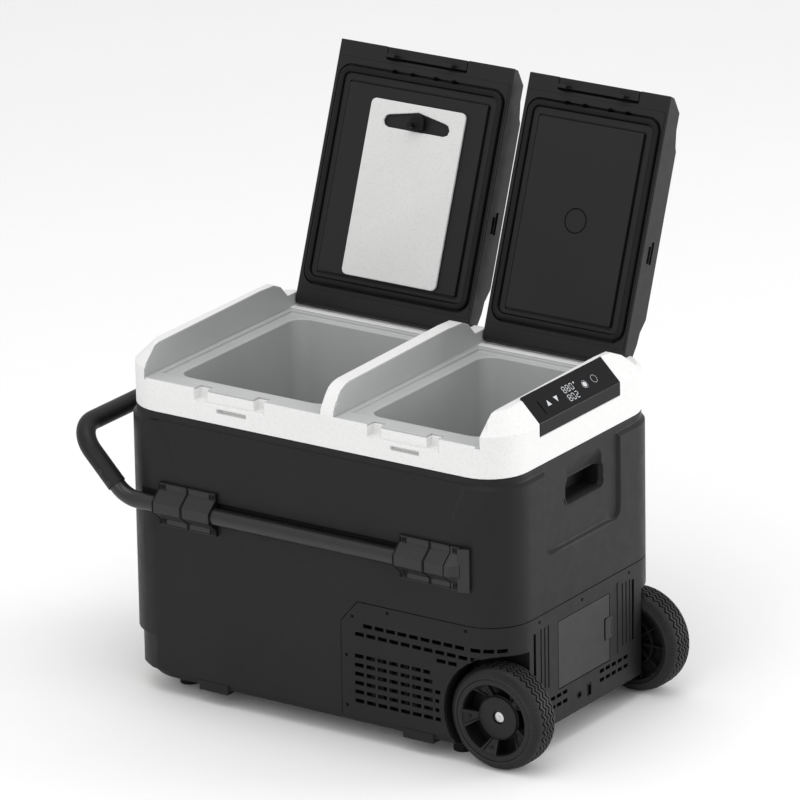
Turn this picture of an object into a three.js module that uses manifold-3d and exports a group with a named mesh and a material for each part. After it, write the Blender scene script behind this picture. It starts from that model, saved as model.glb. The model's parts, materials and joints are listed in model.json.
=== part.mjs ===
// Compressor cooler fridge with two lidded compartments, a slide-out tow handle and two wheels.
// Millimetres, +Z up. X runs along the cabinet towards the control panel and the wheels,
// -Y is the latch side and +Y the hinge side. Until the end of the file, z = 0 is the seam
// between the black body and the white top frame, in the middle of the cabinet's plan.
import * as THREE from "three";
import { mergeVertices } from "three/addons/utils/BufferGeometryUtils.js";
import Module from "manifold-3d";

const manifold = await Module();
manifold.setup();

// ---------------------------------------------------------------- driving dimensions
const GAP = 0.3; // left between two pieces that touch
const RIM = { halfX: 292, halfY: 179.4, radius: 55.5, height: 42.5 }; // white top frame
const SHELL = { halfX: 296.5, halfY: 183.5, radius: 60, bottom: -350, wall: 8.5 };
const SHOULDER = { top: -9, foot: -14 }; // heights of the step from the frame out to the body
// How far out the front and back faces are at the frame and at the foot of their lean.
const LEAN = {
  top: { y: 179.3, z: 1, x: [-232, 236] },
  foot: { y: 183.6, z: -88, x: [-196, 205] },
  slope: 2.5, // run of the slopes at both ends for each millimetre of depth
};
const GROUND = -382;
const WALL_TOP = 84; // height of the end walls and the divider
const HINGE = { y: 164, z: 50.8, pin: 3, barrel: 7.8 };
const LID_OPEN = 110; // degrees from closed to the open stop
const LID_LENGTH = 343; // front edge to hinge axis
const LID_HEIGHT = 43; // underside of a closed lid
const COMPARTMENT = {
  left: { x: [-252.8, 19.6], lid: [-251, 18], latch: [-177, -54], mouth: [-230, -2], floor: -322 },
  right: { x: [39.3, 255.8], lid: [41, 254], latch: [87, 207.5], mouth: [62, 234], floor: -172 },
};
const LATCH_RECESS = { left: [-168.8, -66], right: [93.3, 198.6] };
const FINGER_SLOT = { left: [-140, -95], right: [124.6, 167] };
const SEAL = { front: -147, back: 140, width: 9, inset: 7.5, height: 4.2 };
const WHEEL = { x: 274.5, z: -314.1, radius: 67.9, width: 49.6, face: 183, rim: 54.3 };
const ARCH = { x: 280, z: -311, radius: 78, inner: 130 };
const TUBE = { y: 191.5, z: -119.3, radius: 11, end: 214, bend: -275.6, bendRadius: 45 };
const GRIP = { x: -351.8, z: -39.9, radius: 13, start: 20, cornerRadius: 36 };
const BRACKET = { flange: 4.7, sleeve: 20.7, halfHeight: 28.5, face: 183.5 };
const COVER = { left: 47.7, backLeft: 170, top: -195, corner: [73.2, -225], wall: 3 };
const DOOR = { y: [-65, 54.5], z: [-306.5, -216] };
const VENT = { length: 13.5, pitch: 17.3, height: 5 };
const FAN = { x: 122, z: -291, radius: 44 };

const BLACK = { color: 0x1f1f20, roughness: 0.55, metalness: 0 };
const WHITE = { color: 0xf0f0ee, roughness: 0.5, metalness: 0 };
const GREY = { color: 0xb9bbbb, roughness: 0.45, metalness: 0 };
const GLOSS = { color: 0x0a0a0b, roughness: 0.12, metalness: 0 };
const RUBBER = { color: 0x161616, roughness: 0.85, metalness: 0 };
const STEEL = { color: 0xb8b8ba, roughness: 0.35, metalness: 1 };
const ALLOY = { color: 0xc9cbce, roughness: 0.45, metalness: 1 };
const FOAM = { color: 0xe6d9a8, roughness: 0.95, metalness: 0 };
const BOARD = { color: 0xdadada, roughness: 0.6, metalness: 0 };
const CIRCUIT = { color: 0x1d5a34, roughness: 0.6, metalness: 0 };
const CELLS = { color: 0x3a4652, roughness: 0.6, metalness: 0 };

// ---------------------------------------------------------------- shapes and booleans
const X = new THREE.Vector3(1, 0, 0);
const Y = new THREE.Vector3(0, 1, 0);
const Z = new THREE.Vector3(0, 0, 1);

// A closed three.js geometry as a solid that can be joined and cut.
function toSolid(geometry) {
  geometry.deleteAttribute("normal");
  geometry.deleteAttribute("uv");
  const merged = mergeVertices(geometry, 1e-4);
  return new manifold.Manifold(
    new manifold.Mesh({
      numProp: 3,
      vertProperties: new Float32Array(merged.attributes.position.array),
      triVerts: new Uint32Array(merged.index.array),
    }),
  );
}

function joined(...solids) {
  return solids.reduce((whole, solid) => whole.add(solid));
}

function without(solid, ...cutters) {
  return cutters.reduce((rest, cutter) => rest.subtract(cutter), solid);
}

function box([x0, x1], [y0, y1], [z0, z1]) {
  const geometry = new THREE.BoxGeometry(x1 - x0, y1 - y0, z1 - z0);
  geometry.translate((x0 + x1) / 2, (y0 + y1) / 2, (z0 + z1) / 2);
  return toSolid(geometry);
}

function extruded(points, depth) {
  const shape = new THREE.Shape(points.map(([a, b]) => new THREE.Vector2(a, b)));
  return new THREE.ExtrudeGeometry(shape, { depth, bevelEnabled: false });
}

// Prisms whose outline is given in the plane across their axis: (y, z), (x, z) or (x, y).
function prismX(points, [x0, x1]) {
  const geometry = extruded(points, x1 - x0).translate(0, 0, x0);
  geometry.applyMatrix4(new THREE.Matrix4().makeBasis(Y, Z, X));
  return toSolid(geometry);
}

function prismY(points, [y0, y1]) {
  const geometry = extruded(points, y1 - y0).translate(0, 0, -y1);
  geometry.applyMatrix4(new THREE.Matrix4().makeBasis(X, Z, Y.clone().negate()));
  return toSolid(geometry);
}

function prismZ(points, [z0, z1]) {
  return toSolid(extruded(points, z1 - z0).translate(0, 0, z0));
}

function rodX(radius, [x0, x1], y, z, sides = 16) {
  const geometry = new THREE.CylinderGeometry(radius, radius, x1 - x0, sides).rotateZ(Math.PI / 2);
  return toSolid(geometry.translate((x0 + x1) / 2, y, z));
}

function rodY(radius, [y0, y1], x, z, sides = 16) {
  const geometry = new THREE.CylinderGeometry(radius, radius, y1 - y0, sides);
  return toSolid(geometry.translate(x, (y0 + y1) / 2, z));
}

function rodZ(radius, [z0, z1], x, y, sides = 20) {
  const geometry = new THREE.CylinderGeometry(radius, radius, z1 - z0, sides).rotateX(Math.PI / 2);
  return toSolid(geometry.translate(x, y, (z0 + z1) / 2));
}

// The two y values of a span on the latch side (-1) or the hinge side (1), lowest first.
function span(side, a, b) {
  return [side * a, side * b].sort((p, q) => p - q);
}

function roundedOutline(halfX, halfY, radius, steps = 9) {
  const corners = [[1, 1], [-1, 1], [-1, -1], [1, -1]];
  return corners.flatMap(([sx, sy], quarter) =>
    Array.from({ length: steps + 1 }, (_, step) => {
      const angle = (quarter + step / steps) * (Math.PI / 2);
      return [
        sx * (halfX - radius) + radius * Math.cos(angle),
        sy * (halfY - radius) + radius * Math.sin(angle),
      ];
    }),
  );
}

function roundedBlock(halfX, halfY, radius, heights, steps) {
  return prismZ(roundedOutline(halfX, halfY, radius, steps), heights);
}

// A block's shape whose rounded outline shrinks by inset, and moves by shift along Y, from its
// foot to its top.
function taperedGeometry({ halfX, halfY, radius }, inset, [z0, z1], shift = 0) {
  const lower = roundedOutline(halfX, halfY, radius);
  const inner = roundedOutline(halfX - inset, halfY - inset, radius - inset);
  const upper = inner.map(([x, y]) => [x, y + shift]);
  const geometry = extruded(lower, z1 - z0).translate(0, 0, z0);
  const position = geometry.attributes.position;
  for (let i = 0; i < position.count; i += 1) {
    if (position.getZ(i) > (z0 + z1) / 2) {
      const match = lower.findIndex(
        ([x, y]) => Math.hypot(x - position.getX(i), y - position.getY(i)) < 0.01,
      );
      position.setXY(i, ...upper[match]);
    }
  }
  return geometry;
}

function taperedBlock(size, inset, heights) {
  return toSolid(taperedGeometry(size, inset, heights));
}

// A dish cut into an end wall: its rounded outline in (y, z) narrows by taper, and sinks by
// drop, from the mouth at x = side * mouth to the floor.
function endDish(side, { mouth, floor, y, z, radius, taper, drop = 0 }) {
  const [halfX, halfY] = [(y[1] - y[0]) / 2, (z[1] - z[0]) / 2];
  const size = { halfX, halfY, radius };
  const geometry = taperedGeometry(size, taper, [-mouth, -floor], side * drop);
  const [up, out] = [Z.clone().multiplyScalar(-side), X.clone().multiplyScalar(-side)];
  geometry.applyMatrix4(new THREE.Matrix4().makeBasis(Y, up, out));
  return toSolid(geometry.translate(0, (y[0] + y[1]) / 2, (z[0] + z[1]) / 2));
}

// A solid of revolution about a line along Y; the profile is (radius, y) pairs.
function turnedY(profile, x, z, sides) {
  const points = profile.map(([r, y]) => new THREE.Vector2(r, y));
  if (THREE.ShapeUtils.area(points) < 0) points.reverse();
  const geometry = new THREE.LatheGeometry([...points, points[0]], sides);
  return toSolid(geometry.translate(x, 0, z));
}

function piece(name, solid, look) {
  const { vertProperties, triVerts } = solid.getMesh();
  const geometry = new THREE.BufferGeometry();
  geometry.setAttribute("position", new THREE.BufferAttribute(new Float32Array(vertProperties), 3));
  geometry.setIndex(new THREE.BufferAttribute(new Uint32Array(triVerts), 1));
  const mesh = new THREE.Mesh(geometry, new THREE.MeshStandardMaterial(look));
  mesh.name = name;
  return mesh;
}

// ---------------------------------------------------------------- black body
// Front or back face leans in towards the frame between two shoulders, each a soft slope.
function leaningFace(side) {
  const geometry = new THREE.BoxGeometry(1, 1, 1);
  const position = geometry.attributes.position;
  const outside = 190;
  for (let i = 0; i < position.count; i += 1) {
    const { x, y, z } = position.getZ(i) > 0 ? LEAN.top : LEAN.foot;
    const deep = position.getY(i) * side < 0;
    const run = deep ? 0 : LEAN.slope * (outside - y);
    const edge = position.getX(i) > 0 ? x[1] + run : x[0] - run;
    position.setXYZ(i, edge, side * (deep ? y : outside), z);
  }
  return toSolid(geometry);
}

// Carry pocket in each end wall: a grip hole with a flared mouth under a dished scoop.
function carryPocket(side) {
  const hole = { mouth: 300, floor: 262, y: [-36, 46], z: [-67, -40], radius: 6, taper: 0 };
  const flare = { mouth: 293, floor: 286, y: [-39.5, 49.5], z: [-70.5, -36.5], radius: 9.5, taper: 3.5 };
  const scoop = {
    mouth: 292.1, floor: 283, y: [-35, 45], z: [-56, -15.5], radius: 13, taper: 5, drop: 17,
  };
  return joined(endDish(side, hole), endDish(side, flare), endDish(side, scoop));
}

function pocketBoss(side) {
  return box(span(side, 257, 290), [-41, 51], [-72, -15]);
}

// Everything that belongs to the compressor cover: x from its edge, below its top seam.
function coverRegion(gap) {
  const left = COVER.left + gap;
  const top = COVER.top - gap;
  const front = prismY(
    [[left, -400], [left, COVER.corner[1]], [COVER.corner[0] + gap, top], [300, top], [300, -400]],
    [-200, 0.01],
  );
  const back = box([COVER.backLeft + gap, 300], [0, 200], [-400, top]);
  return front.add(back);
}

function outerShell() {
  const { halfX, halfY, radius, bottom, wall } = SHELL;
  const step = halfX - RIM.halfX;
  const main = roundedBlock(halfX, halfY, radius, [bottom, SHOULDER.foot]);
  const shoulder = taperedBlock(SHELL, step, [SHOULDER.foot - 0.01, SHOULDER.top]);
  const neck = roundedBlock(halfX - step, halfY - step, radius - step, [SHOULDER.top - 0.01, -GAP]);
  const inside = roundedBlock(halfX - wall, halfY - wall, radius - wall, [bottom - 1, 1]);
  const narrowFoot = roundedBlock(halfX - 6, halfY, radius + 2, [bottom - 1, -303]);
  const foot = box([-300, -240], [-190, 190], [bottom - 1, -304]).subtract(narrowFoot);
  const footChamfer = prismY([[-300, -333], [-290.5, -333], [-275, -351], [-300, -351]], [-200, 200]);
  const channels = [-1, 1].map((side) => box([-300, 232], span(side, 178.5, 190), [-134, -105]));
  const recess = { mouth: 297, floor: 292, y: [-91, 83], z: [-123, 40], radius: 15, taper: 5 };
  const recesses = [-1, 1].map((side) => endDish(side, recess));
  const body = joined(main, shoulder, neck);
  const hollow = without(body, inside, foot, footChamfer, ...channels, ...recesses);
  return without(
    joined(hollow, pocketBoss(-1), pocketBoss(1)),
    leaningFace(-1),
    leaningFace(1),
    carryPocket(-1),
    carryPocket(1),
    coverRegion(0),
  );
}

// Bottom plate with moulded stand-off pads and bosses for the rubber feet.
const FEET = [[200, -138], [200, 138], [-228, -130], [-228, 130]];

function basePan() {
  const top = SHELL.bottom - GAP;
  const plate = roundedBlock(280, 180, 60, [top - 7.7, top]).translate([6, 0, 0]);
  const pads = [-1, 1].flatMap((side) =>
    [[-175, -130], [139, 185]].map((x) => box(x, span(side, 150, 183.2), [-364, top])),
  );
  const bosses = FEET.map(([x, y]) => rodZ(9.5, [-369, top], x, y, 14));
  const arches = [-1, 1].map((side) => archSpace(side, 0.5));
  return joined(without(plate, ...arches), ...pads, ...bosses);
}

function foot([x, y]) {
  return rodZ(12.5, [GROUND, -369 - GAP], x, y);
}

// ---------------------------------------------------------------- compressor cover
function archSpace(side, extra) {
  return rodY(ARCH.radius + extra, span(side, ARCH.inner - extra, 190), ARCH.x, ARCH.z, 32);
}

// A row of slots from x on; the last one stops at the row's end.
function ventRow(x, end, z) {
  const count = Math.floor((end - x - 5) / VENT.pitch) + 1;
  return Array.from({ length: count }, (_, i) => {
    const start = x + i * VENT.pitch;
    const stop = Math.min(start + VENT.length, end);
    return box([start, stop], [-190, -178], [z - VENT.height / 2, z + VENT.height / 2]);
  });
}

// Vents that carry on round the front corner, at equal angles about the corner's centre.
function cornerVents(z, count) {
  const [cx, cy] = [SHELL.halfX - SHELL.radius, SHELL.radius - SHELL.halfY];
  return Array.from({ length: count }, (_, i) => {
    const geometry = new THREE.BoxGeometry(VENT.length, 14, VENT.height);
    geometry.translate(0, -SHELL.radius, 0);
    geometry.rotateZ((VENT.pitch * (i + 0.75)) / SHELL.radius);
    return toSolid(geometry.translate(cx, cy, z));
  });
}

function endVentRow(y, z, count) {
  return Array.from({ length: count }, (_, i) => {
    const start = y + i * 14;
    return box([285, 300], [start, start + 10], [z - 2.5, z + 2.5]);
  });
}

function frontVents() {
  const lowerEnds = [182, 187, 197, 195, 195, 197];
  return [
    ...ventRow(81.6, 234, -225.8),
    ...ventRow(69, 238, -238.4),
    ...cornerVents(-225.8, 3),
    ...cornerVents(-238.4, 3),
    ...ventRow(192, 222, -249.5),
    ...lowerEnds.flatMap((end, i) => ventRow(68, end, -268 - 12.1 * i)),
  ];
}

function endOpenings() {
  const rows = [-315, -327].flatMap((z) => [...endVentRow(-83, z, 3), ...endVentRow(31, z, 5)]);
  const deepSlots = [-118.5, 110].map((y) => box([285, 300], [y - 2.5, y + 2.5], [-297, -215]));
  const grooves = [-104.5, -96, -87.5, 85, 93.5, 102].map((y) =>
    box([295.3, 300], [y - 1.4, y + 1.4], [-297, -213]),
  );
  const strip = box([295.5, 300], [57.5, 74], [-303, -208]);
  return [
    ...rows,
    ...deepSlots,
    ...grooves,
    strip,
    box([285, 300], DOOR.y, DOOR.z),
    rodX(5, [285, 300], -17, -330),
    box([285, 300], [2, 10.6], [-339, -322]),
  ];
}

function compressorCover() {
  const { halfX, halfY, radius, bottom } = SHELL;
  const outer = roundedBlock(halfX, halfY, radius, [bottom, -150]);
  const w = COVER.wall;
  const inner = roundedBlock(halfX - w, halfY - w, radius - w, [bottom - 1, -149]);
  const panel = outer.subtract(inner).intersect(coverRegion(GAP));
  return without(panel, archSpace(-1, 0), archSpace(1, 0), ...frontVents(), ...endOpenings());
}

// Cup that closes a wheel arch off from the compressor bay.
function wheelArch(side) {
  const { halfX, halfY, radius, bottom } = SHELL;
  const inset = COVER.wall + GAP;
  const bounds = roundedBlock(halfX - inset, halfY - inset, radius - inset, [bottom, COVER.top - 5]);
  const cup = archSpace(side, 2.5).subtract(archSpace(side, 0));
  return cup.intersect(bounds).subtract(rodY(5.6, span(side, 120, 140), WHEEL.x, WHEEL.z));
}

function batteryDoor() {
  const plate = box(
    [SHELL.halfX - 2.7, SHELL.halfX],
    [DOOR.y[0] + GAP, DOOR.y[1] - GAP],
    [DOOR.z[0] + GAP, DOOR.z[1] - GAP],
  );
  return plate.subtract(box([295, 300], [42, 50], [-276.5, -247]));
}

function powerSocket() {
  const socket = rodX(4.7, [282, SHELL.halfX + 0.6], -17, -330);
  return socket.subtract(rodX(3.3, [286, 300], -17, -330));
}

function dataSocket() {
  const socket = box([282, SHELL.halfX + 0.6], [2.3, 10.3], [-338.7, -322.3]);
  return socket.subtract(box([286, 300], [3.5, 9.1], [-337.3, -323.7]));
}

// ---------------------------------------------------------------- white top frame
// Side view (y, z) of the end walls and the divider: a rounded nose, a long level top, a step
// down behind the lids that carries the hinge pins.
const WALL_PROFILE = [
  [-179.4, 40], [-179.4, 43], [-178, 50], [-172, 61], [-163, 73], [-152, 78], [-141, 80],
  [85, WALL_TOP], [112, 83], [128, 76], [143, 60], [170, 60], [174, 54], [174, 40],
];

// Control panel seat: a 45 degree face and a strip down the end wall.
const PANEL = { y: [-95, 90], top: [262.5, WALL_TOP], edge: [292, 55], foot: 37 };

function latchCuts(name, gap) {
  const [x0, x1] = LATCH_RECESS[name];
  const [l0, l1] = COMPARTMENT[name].latch;
  const pocket = (x) => box([x - gap, x + 18 + gap], [-185, -162.5 + gap], [26 - gap, 60]);
  return [
    box([x0 - gap, x1 + gap], [-185, -175.4 + gap], [25 - gap, 60]),
    pocket(l0 + 3),
    pocket(l1 - 31),
  ];
}

function topFrame() {
  const { halfX, halfY, radius, height } = RIM;
  const base = roundedBlock(halfX, halfY, radius, [0, height]);
  const slopes = taperedBlock(RIM, 29.5, [55, WALL_TOP + 0.5]);
  const envelope = joined(roundedBlock(halfX, halfY, radius, [0, 55.01]), slopes);
  const { left, right } = COMPARTMENT;
  const walls = [[-halfX, left.x[0]], [left.x[1], right.x[0]], [right.x[1], halfX]];
  const uprights = walls.map((x) => prismX(WALL_PROFILE, x).intersect(envelope));
  const openings = [left, right].flatMap(({ x: [x0, x1] }) => [
    box([x0 + 5.5, x1 - 5.9], [-152.3, 142.3], [-1, 60]),
    box([x0, x1], [-177.5, 148], [39.7, 60]),
  ]);
  const seat = prismY(
    [[262.2, 95], [262.2, 80.8], [289.3, 54.2], [289.3, 37.2], [300, 37.2], [300, 95]],
    [PANEL.y[0] - GAP, PANEL.y[1] + GAP],
  );
  const fingerSlots = Object.values(FINGER_SLOT).map((x) => box(x, [-185, -170], [15, 20.5]));
  const bore = HINGE.pin + GAP;
  const pinHoles = [[-262, -250], [19, 29.2], [29.9, 40], [255, 266]].map((x) =>
    rodX(bore, x, HINGE.y, HINGE.z),
  );
  return without(
    joined(base, ...uprights),
    ...openings,
    ...latchCuts("left", 0),
    ...latchCuts("right", 0),
    ...fingerSlots,
    seat,
    box([265, 284], [-84, 82], [-1, 50]),
    ...pinHoles,
  );
}

function controlPanel() {
  const outline = [
    [262.6, 81.4], [262.6, 84.2], [292.3, 55.1], [292.3, 37.6], [289.7, 37.6], [289.7, 54.5],
  ];
  return prismY(outline, PANEL.y);
}

// Basin with a seal step and a flange that covers the ledge round the compartment.
function liner(name) {
  const { x: [x0, x1], mouth: [m0, m1], floor } = COMPARTMENT[name];
  const wall = 2.5;
  const flange = box([x0 + GAP, x1 - GAP], [-177.2, 147.7], [40, RIM.height]);
  const collar = box([x0 + 5.8, x1 - 6.2], [-152, 142], [35.3, RIM.height]);
  const step = box([x0 + 7.3, x1 - 7.5], [-150.5, 140.8], [38, 60]);
  return without(
    joined(flange, collar, basin([m0 - wall, m1 + wall], [-138.5, 134.5], [floor - wall, 40])),
    step,
    basin([m0, m1], [-136, 132], [floor, 60]),
    ...latchCuts(name, GAP),
  );
}

function basin([x0, x1], [y0, y1], heights) {
  const outline = roundedOutline((x1 - x0) / 2, (y1 - y0) / 2, 20, 4);
  const centred = outline.map(([x, y]) => [x + (x0 + x1) / 2, y + (y0 + y1) / 2]);
  return prismZ(centred, heights);
}

// Aluminium sleeve that cools a basin from outside.
function evaporator(name, heights, grow = 0) {
  const [m0, m1] = COMPARTMENT[name].mouth;
  const outer = 4.4 + grow;
  const inner = 2.9;
  const block = box([m0 - outer, m1 + outer], [-136 - outer, 132 + outer], heights);
  if (grow > 0) return block;
  return block.subtract(box([m0 - inner, m1 + inner], [-136 - inner, 132 + inner], [-400, 60]));
}

const EVAPORATOR = { left: [-290, -80], right: [-150, -40] };

function insulationFoam() {
  const { halfX, halfY, radius, wall } = SHELL;
  const inset = wall + GAP;
  const block = roundedBlock(halfX - inset, halfY - inset, radius - inset, [-345, -0.5]);
  const tubs = Object.entries(COMPARTMENT).map(([, { mouth: [m0, m1], floor }]) =>
    box([m0 - 2.8, m1 + 2.8], [-138.8, 134.8], [floor - 2.8, 10]),
  );
  const sleeves = Object.entries(EVAPORATOR).map(([name, [z0, z1]]) =>
    evaporator(name, [z0 - GAP, z1 + GAP], GAP),
  );
  const bosses = [-1, 1].map((side) => box(span(side, 256.7, 300), [-41.3, 51.3], [-72.3, -14.7]));
  return without(block, ...tubs, ...sleeves, ...bosses, box([45, 300], [-200, 200], [-400, -193]));
}

// ---------------------------------------------------------------- compressor bay
function compressor() {
  const dome = [[0, -342], [44, -342], [50, -334], [50, -262], [44, -246], [26, -238], [0, -236]];
  const points = dome.map(([r, z]) => new THREE.Vector2(r, z));
  const can = new THREE.LatheGeometry(points, 20).rotateX(Math.PI / 2);
  const plate = box([48, 172], [18, 102], [-347, -340]);
  const pipe = rodX(4, [150, 178], 60, -255, 10);
  return joined(toSolid(can.translate(110, 60, 0)), plate, pipe);
}

function condenser() {
  const block = box([62, 182], [-172, -150], [-345, -238]);
  const grooves = Array.from({ length: 9 }, (_, i) =>
    box([66 + i * 12.5, 72 + i * 12.5], [-175, -153], [-340, -243]),
  );
  return without(block, ...grooves);
}

function fanShroud() {
  const frame = box([62, 182], [-149.6, -128], [-345, -238]);
  const mouth = rodY(FAN.radius + 3, [-160, -120], FAN.x, FAN.z, 24);
  const spider = [
    box([66, 178], [-131, -128], [FAN.z - 3, FAN.z + 3]),
    box([FAN.x - 3, FAN.x + 3], [-131, -128], [-342, -241]),
    rodY(12, [-131, -128], FAN.x, FAN.z),
  ];
  return joined(frame.subtract(mouth), ...spider);
}

function fanRotor() {
  const blades = Array.from({ length: 7 }, (_, i) => {
    const geometry = new THREE.BoxGeometry(FAN.radius - 8, 2, 22);
    geometry.rotateX(Math.PI / 5).translate(FAN.radius / 2 + 4, 0, 0);
    geometry.rotateY((i * 2 * Math.PI) / 7);
    return toSolid(geometry.translate(FAN.x, -140, FAN.z));
  });
  return joined(rodY(14, [-147, -132], FAN.x, FAN.z, 20), ...blades);
}

// ---------------------------------------------------------------- wheels
// Depth values run inwards from the wheel's outer face.
function wheelDepth(side, depth) {
  return side * (WHEEL.face - depth);
}

function tyre(side) {
  const r = WHEEL.radius;
  const half = [[WHEEL.rim, 1], [59, 2.2], [63.3, 5.5], [66.8, 10], [r, 15]];
  const profile = [...half, ...half.map(([radius, d]) => [radius, WHEEL.width - d]).reverse()];
  const placed = profile.map(([radius, depth]) => [radius, wheelDepth(side, depth)]);
  return turnedY(placed, WHEEL.x, WHEEL.z, 36);
}

// Dished hub: a sunk centre disc, a sloping web with five windows and a barrel under the tyre.
function hub(side) {
  const profile = [
    [5.3, 22], [9, 22], [9, 12], [27.5, 12], [29.5, 14.5], [46.5, 1.5], [54, 0.8], [54, 48.6],
    [50, 48.6], [47.5, 9], [31, 21], [13, 24], [13, 46], [5.3, 46],
  ].map(([radius, depth]) => [radius, wheelDepth(side, depth)]);
  const windows = Array.from({ length: 5 }, (_, i) => {
    const middle = THREE.MathUtils.degToRad(6.8 + i * 72);
    const arc = (radius, offsets) =>
      offsets.map((offset) => [
        WHEEL.x + radius * Math.cos(middle + offset),
        WHEEL.z + radius * Math.sin(middle + offset),
      ]);
    const outline = [...arc(30.5, [-0.43, 0, 0.43]), ...arc(46, [0.37, 0.18, 0, -0.18, -0.37])];
    return prismY(outline, span(side, 155, 190));
  });
  return without(joined(turnedY(profile, WHEEL.x, WHEEL.z, 30), hubBack(side)), ...windows);
}

// Disc that closes the hub behind its windows, with ribs and a ring on the inner face.
function hubBack(side) {
  const rod = (radius, near, far) => {
    const depths = [wheelDepth(side, near), wheelDepth(side, far)].sort((p, q) => p - q);
    return rodY(radius, depths, WHEEL.x, WHEEL.z, 30);
  };
  const ribs = Array.from({ length: 10 }, (_, i) => {
    const geometry = new THREE.BoxGeometry(38.1, 10.5, 2);
    geometry.translate(31.4, 0, 0).rotateY((i * Math.PI) / 5);
    return toSolid(geometry.translate(WHEEL.x, wheelDepth(side, 38), WHEEL.z));
  });
  const disc = rod(49.2, 30, 33).subtract(rod(12, 28, 35));
  const ring = rod(32, 32.9, 43.2).subtract(rod(30, 32, 44));
  return joined(disc, ring, ...ribs);
}

function wheelBolt(side) {
  return rodY(7.4, span(side, WHEEL.face - 21.7, WHEEL.face - 18.2), WHEEL.x, WHEEL.z, 20);
}

// ---------------------------------------------------------------- tow handle
const ARM = new THREE.Vector3(GRIP.x - TUBE.bend, 0, GRIP.z - TUBE.z).normalize();

function corner(side, at) {
  return new THREE.Vector3(at.x, side * TUBE.y, at.z);
}

const BEND = { x: TUBE.bend, z: TUBE.z };

// Arc that rounds the corner at point, from direction before to direction after.
function roundedCorner(point, before, after, radius, steps) {
  const turn = before.angleTo(after);
  const tangent = radius * Math.tan(turn / 2);
  const start = point.clone().addScaledVector(before, -tangent);
  const inwards = after.clone().addScaledVector(before, -before.dot(after)).normalize();
  const centre = start.clone().addScaledVector(inwards, radius);
  return Array.from({ length: steps + 1 }, (_, i) => {
    const angle = (turn * i) / steps;
    return centre
      .clone()
      .addScaledVector(inwards, -radius * Math.cos(angle))
      .addScaledVector(before, radius * Math.sin(angle));
  });
}

function sweep(points, radius, steps, sides) {
  const path = new THREE.CurvePath();
  points.slice(1).forEach((point, i) => path.add(new THREE.LineCurve3(points[i], point)));
  const circle = Array.from({ length: sides }, (_, i) => {
    const angle = (i * 2 * Math.PI) / sides;
    return new THREE.Vector2(radius * Math.cos(angle), radius * Math.sin(angle));
  });
  const settings = { steps, extrudePath: path, bevelEnabled: false };
  return toSolid(new THREE.ExtrudeGeometry(new THREE.Shape(circle), settings));
}

function handleTube(side, extra = 0) {
  const point = corner(side, BEND);
  const arc = roundedCorner(point, X.clone().negate(), ARM, TUBE.bendRadius, 8);
  const start = arc[0].clone().addScaledVector(X, 2);
  const end = point.clone().addScaledVector(ARM, GRIP.start + 24 + extra);
  const bent = sweep([start, ...arc, end], TUBE.radius + extra, 12, 14);
  const straight = rodX(TUBE.radius + extra, [arc[0].x + 1, TUBE.end], side * TUBE.y, TUBE.z, 14);
  return bent.add(straight);
}

// One moulded grip: up one arm, across the cabinet's end and down the other arm.
function handleGrip() {
  const route = [-1, 1].map((side) => {
    const base = corner(side, BEND).addScaledVector(ARM, GRIP.start);
    const across = Y.clone().multiplyScalar(-side);
    const arc = roundedCorner(corner(side, GRIP), ARM, across, GRIP.cornerRadius, 6);
    return [base, ...arc];
  });
  const grip = sweep([...route[0], ...route[1].reverse()], GRIP.radius, 44, 12);
  return without(grip, handleTube(-1, GAP), handleTube(1, GAP));
}

// Saddle clamp half; the last one on each side closes the tube's end with a wedge.
function bracket(side, [x0, x1], closed) {
  const { flange, sleeve, halfHeight, face } = BRACKET;
  const base = face + GAP;
  const outline = [
    [0, -halfHeight], [flange, -halfHeight], [flange, -20], [sleeve, -6.5],
    [sleeve, 6.5], [flange, 20], [flange, halfHeight], [0, halfHeight],
  ].map(([out, z]) => [side * (base + out), TUBE.z + z]);
  const boreEnd = closed ? TUBE.end + 4 : x1 + 10;
  const bore = rodX(TUBE.radius + 0.5, [x0 - 10, boreEnd], side * TUBE.y, TUBE.z, 14);
  if (!closed) return prismX(outline, [x0, x1]).subtract(bore);
  const wedge = [[x1 - 20, 0], [x1 - 20, 17], [x1, flange], [x1, 0]];
  const block = prismZ(
    wedge.map(([x, out]) => [x, side * (base + out)]),
    [TUBE.z - halfHeight, TUBE.z + halfHeight],
  );
  return joined(prismX(outline, [x0, x1 - 19]), block).subtract(bore);
}

// ---------------------------------------------------------------- lids
// Drawn closed: s runs back from the front edge, t up from the underside. The lid's group puts
// the hinge axis at its origin and turns the lid to the open stop.
function lidPrism(points, x) {
  return prismX(points.map(([s, t]) => [s - LID_LENGTH, t + LID_HEIGHT - HINGE.z]), x);
}

function lidBox(x, [s0, s1], [t0, t1]) {
  return lidPrism([[s0, t0], [s1, t0], [s1, t1], [s0, t1]], x);
}

const LID_TOP = [
  [0, 0], [1.5, 10], [19, 29], [41, 29], [62, 34], [68, 37.5], [285, 38], [302, 29], [318, 27],
  [333, 22],
];
const LID_INSIDE = [
  [22, 3.4], [22, 25.3], [43, 25.3], [64, 30.5], [70, 34], [283, 34.3], [300, 25.3], [316, 23.5],
  [326, 19], [326, 3.4],
];
const LATCH_PIVOT = { s: 12.5, t: 16, pin: 1.6 };

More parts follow.
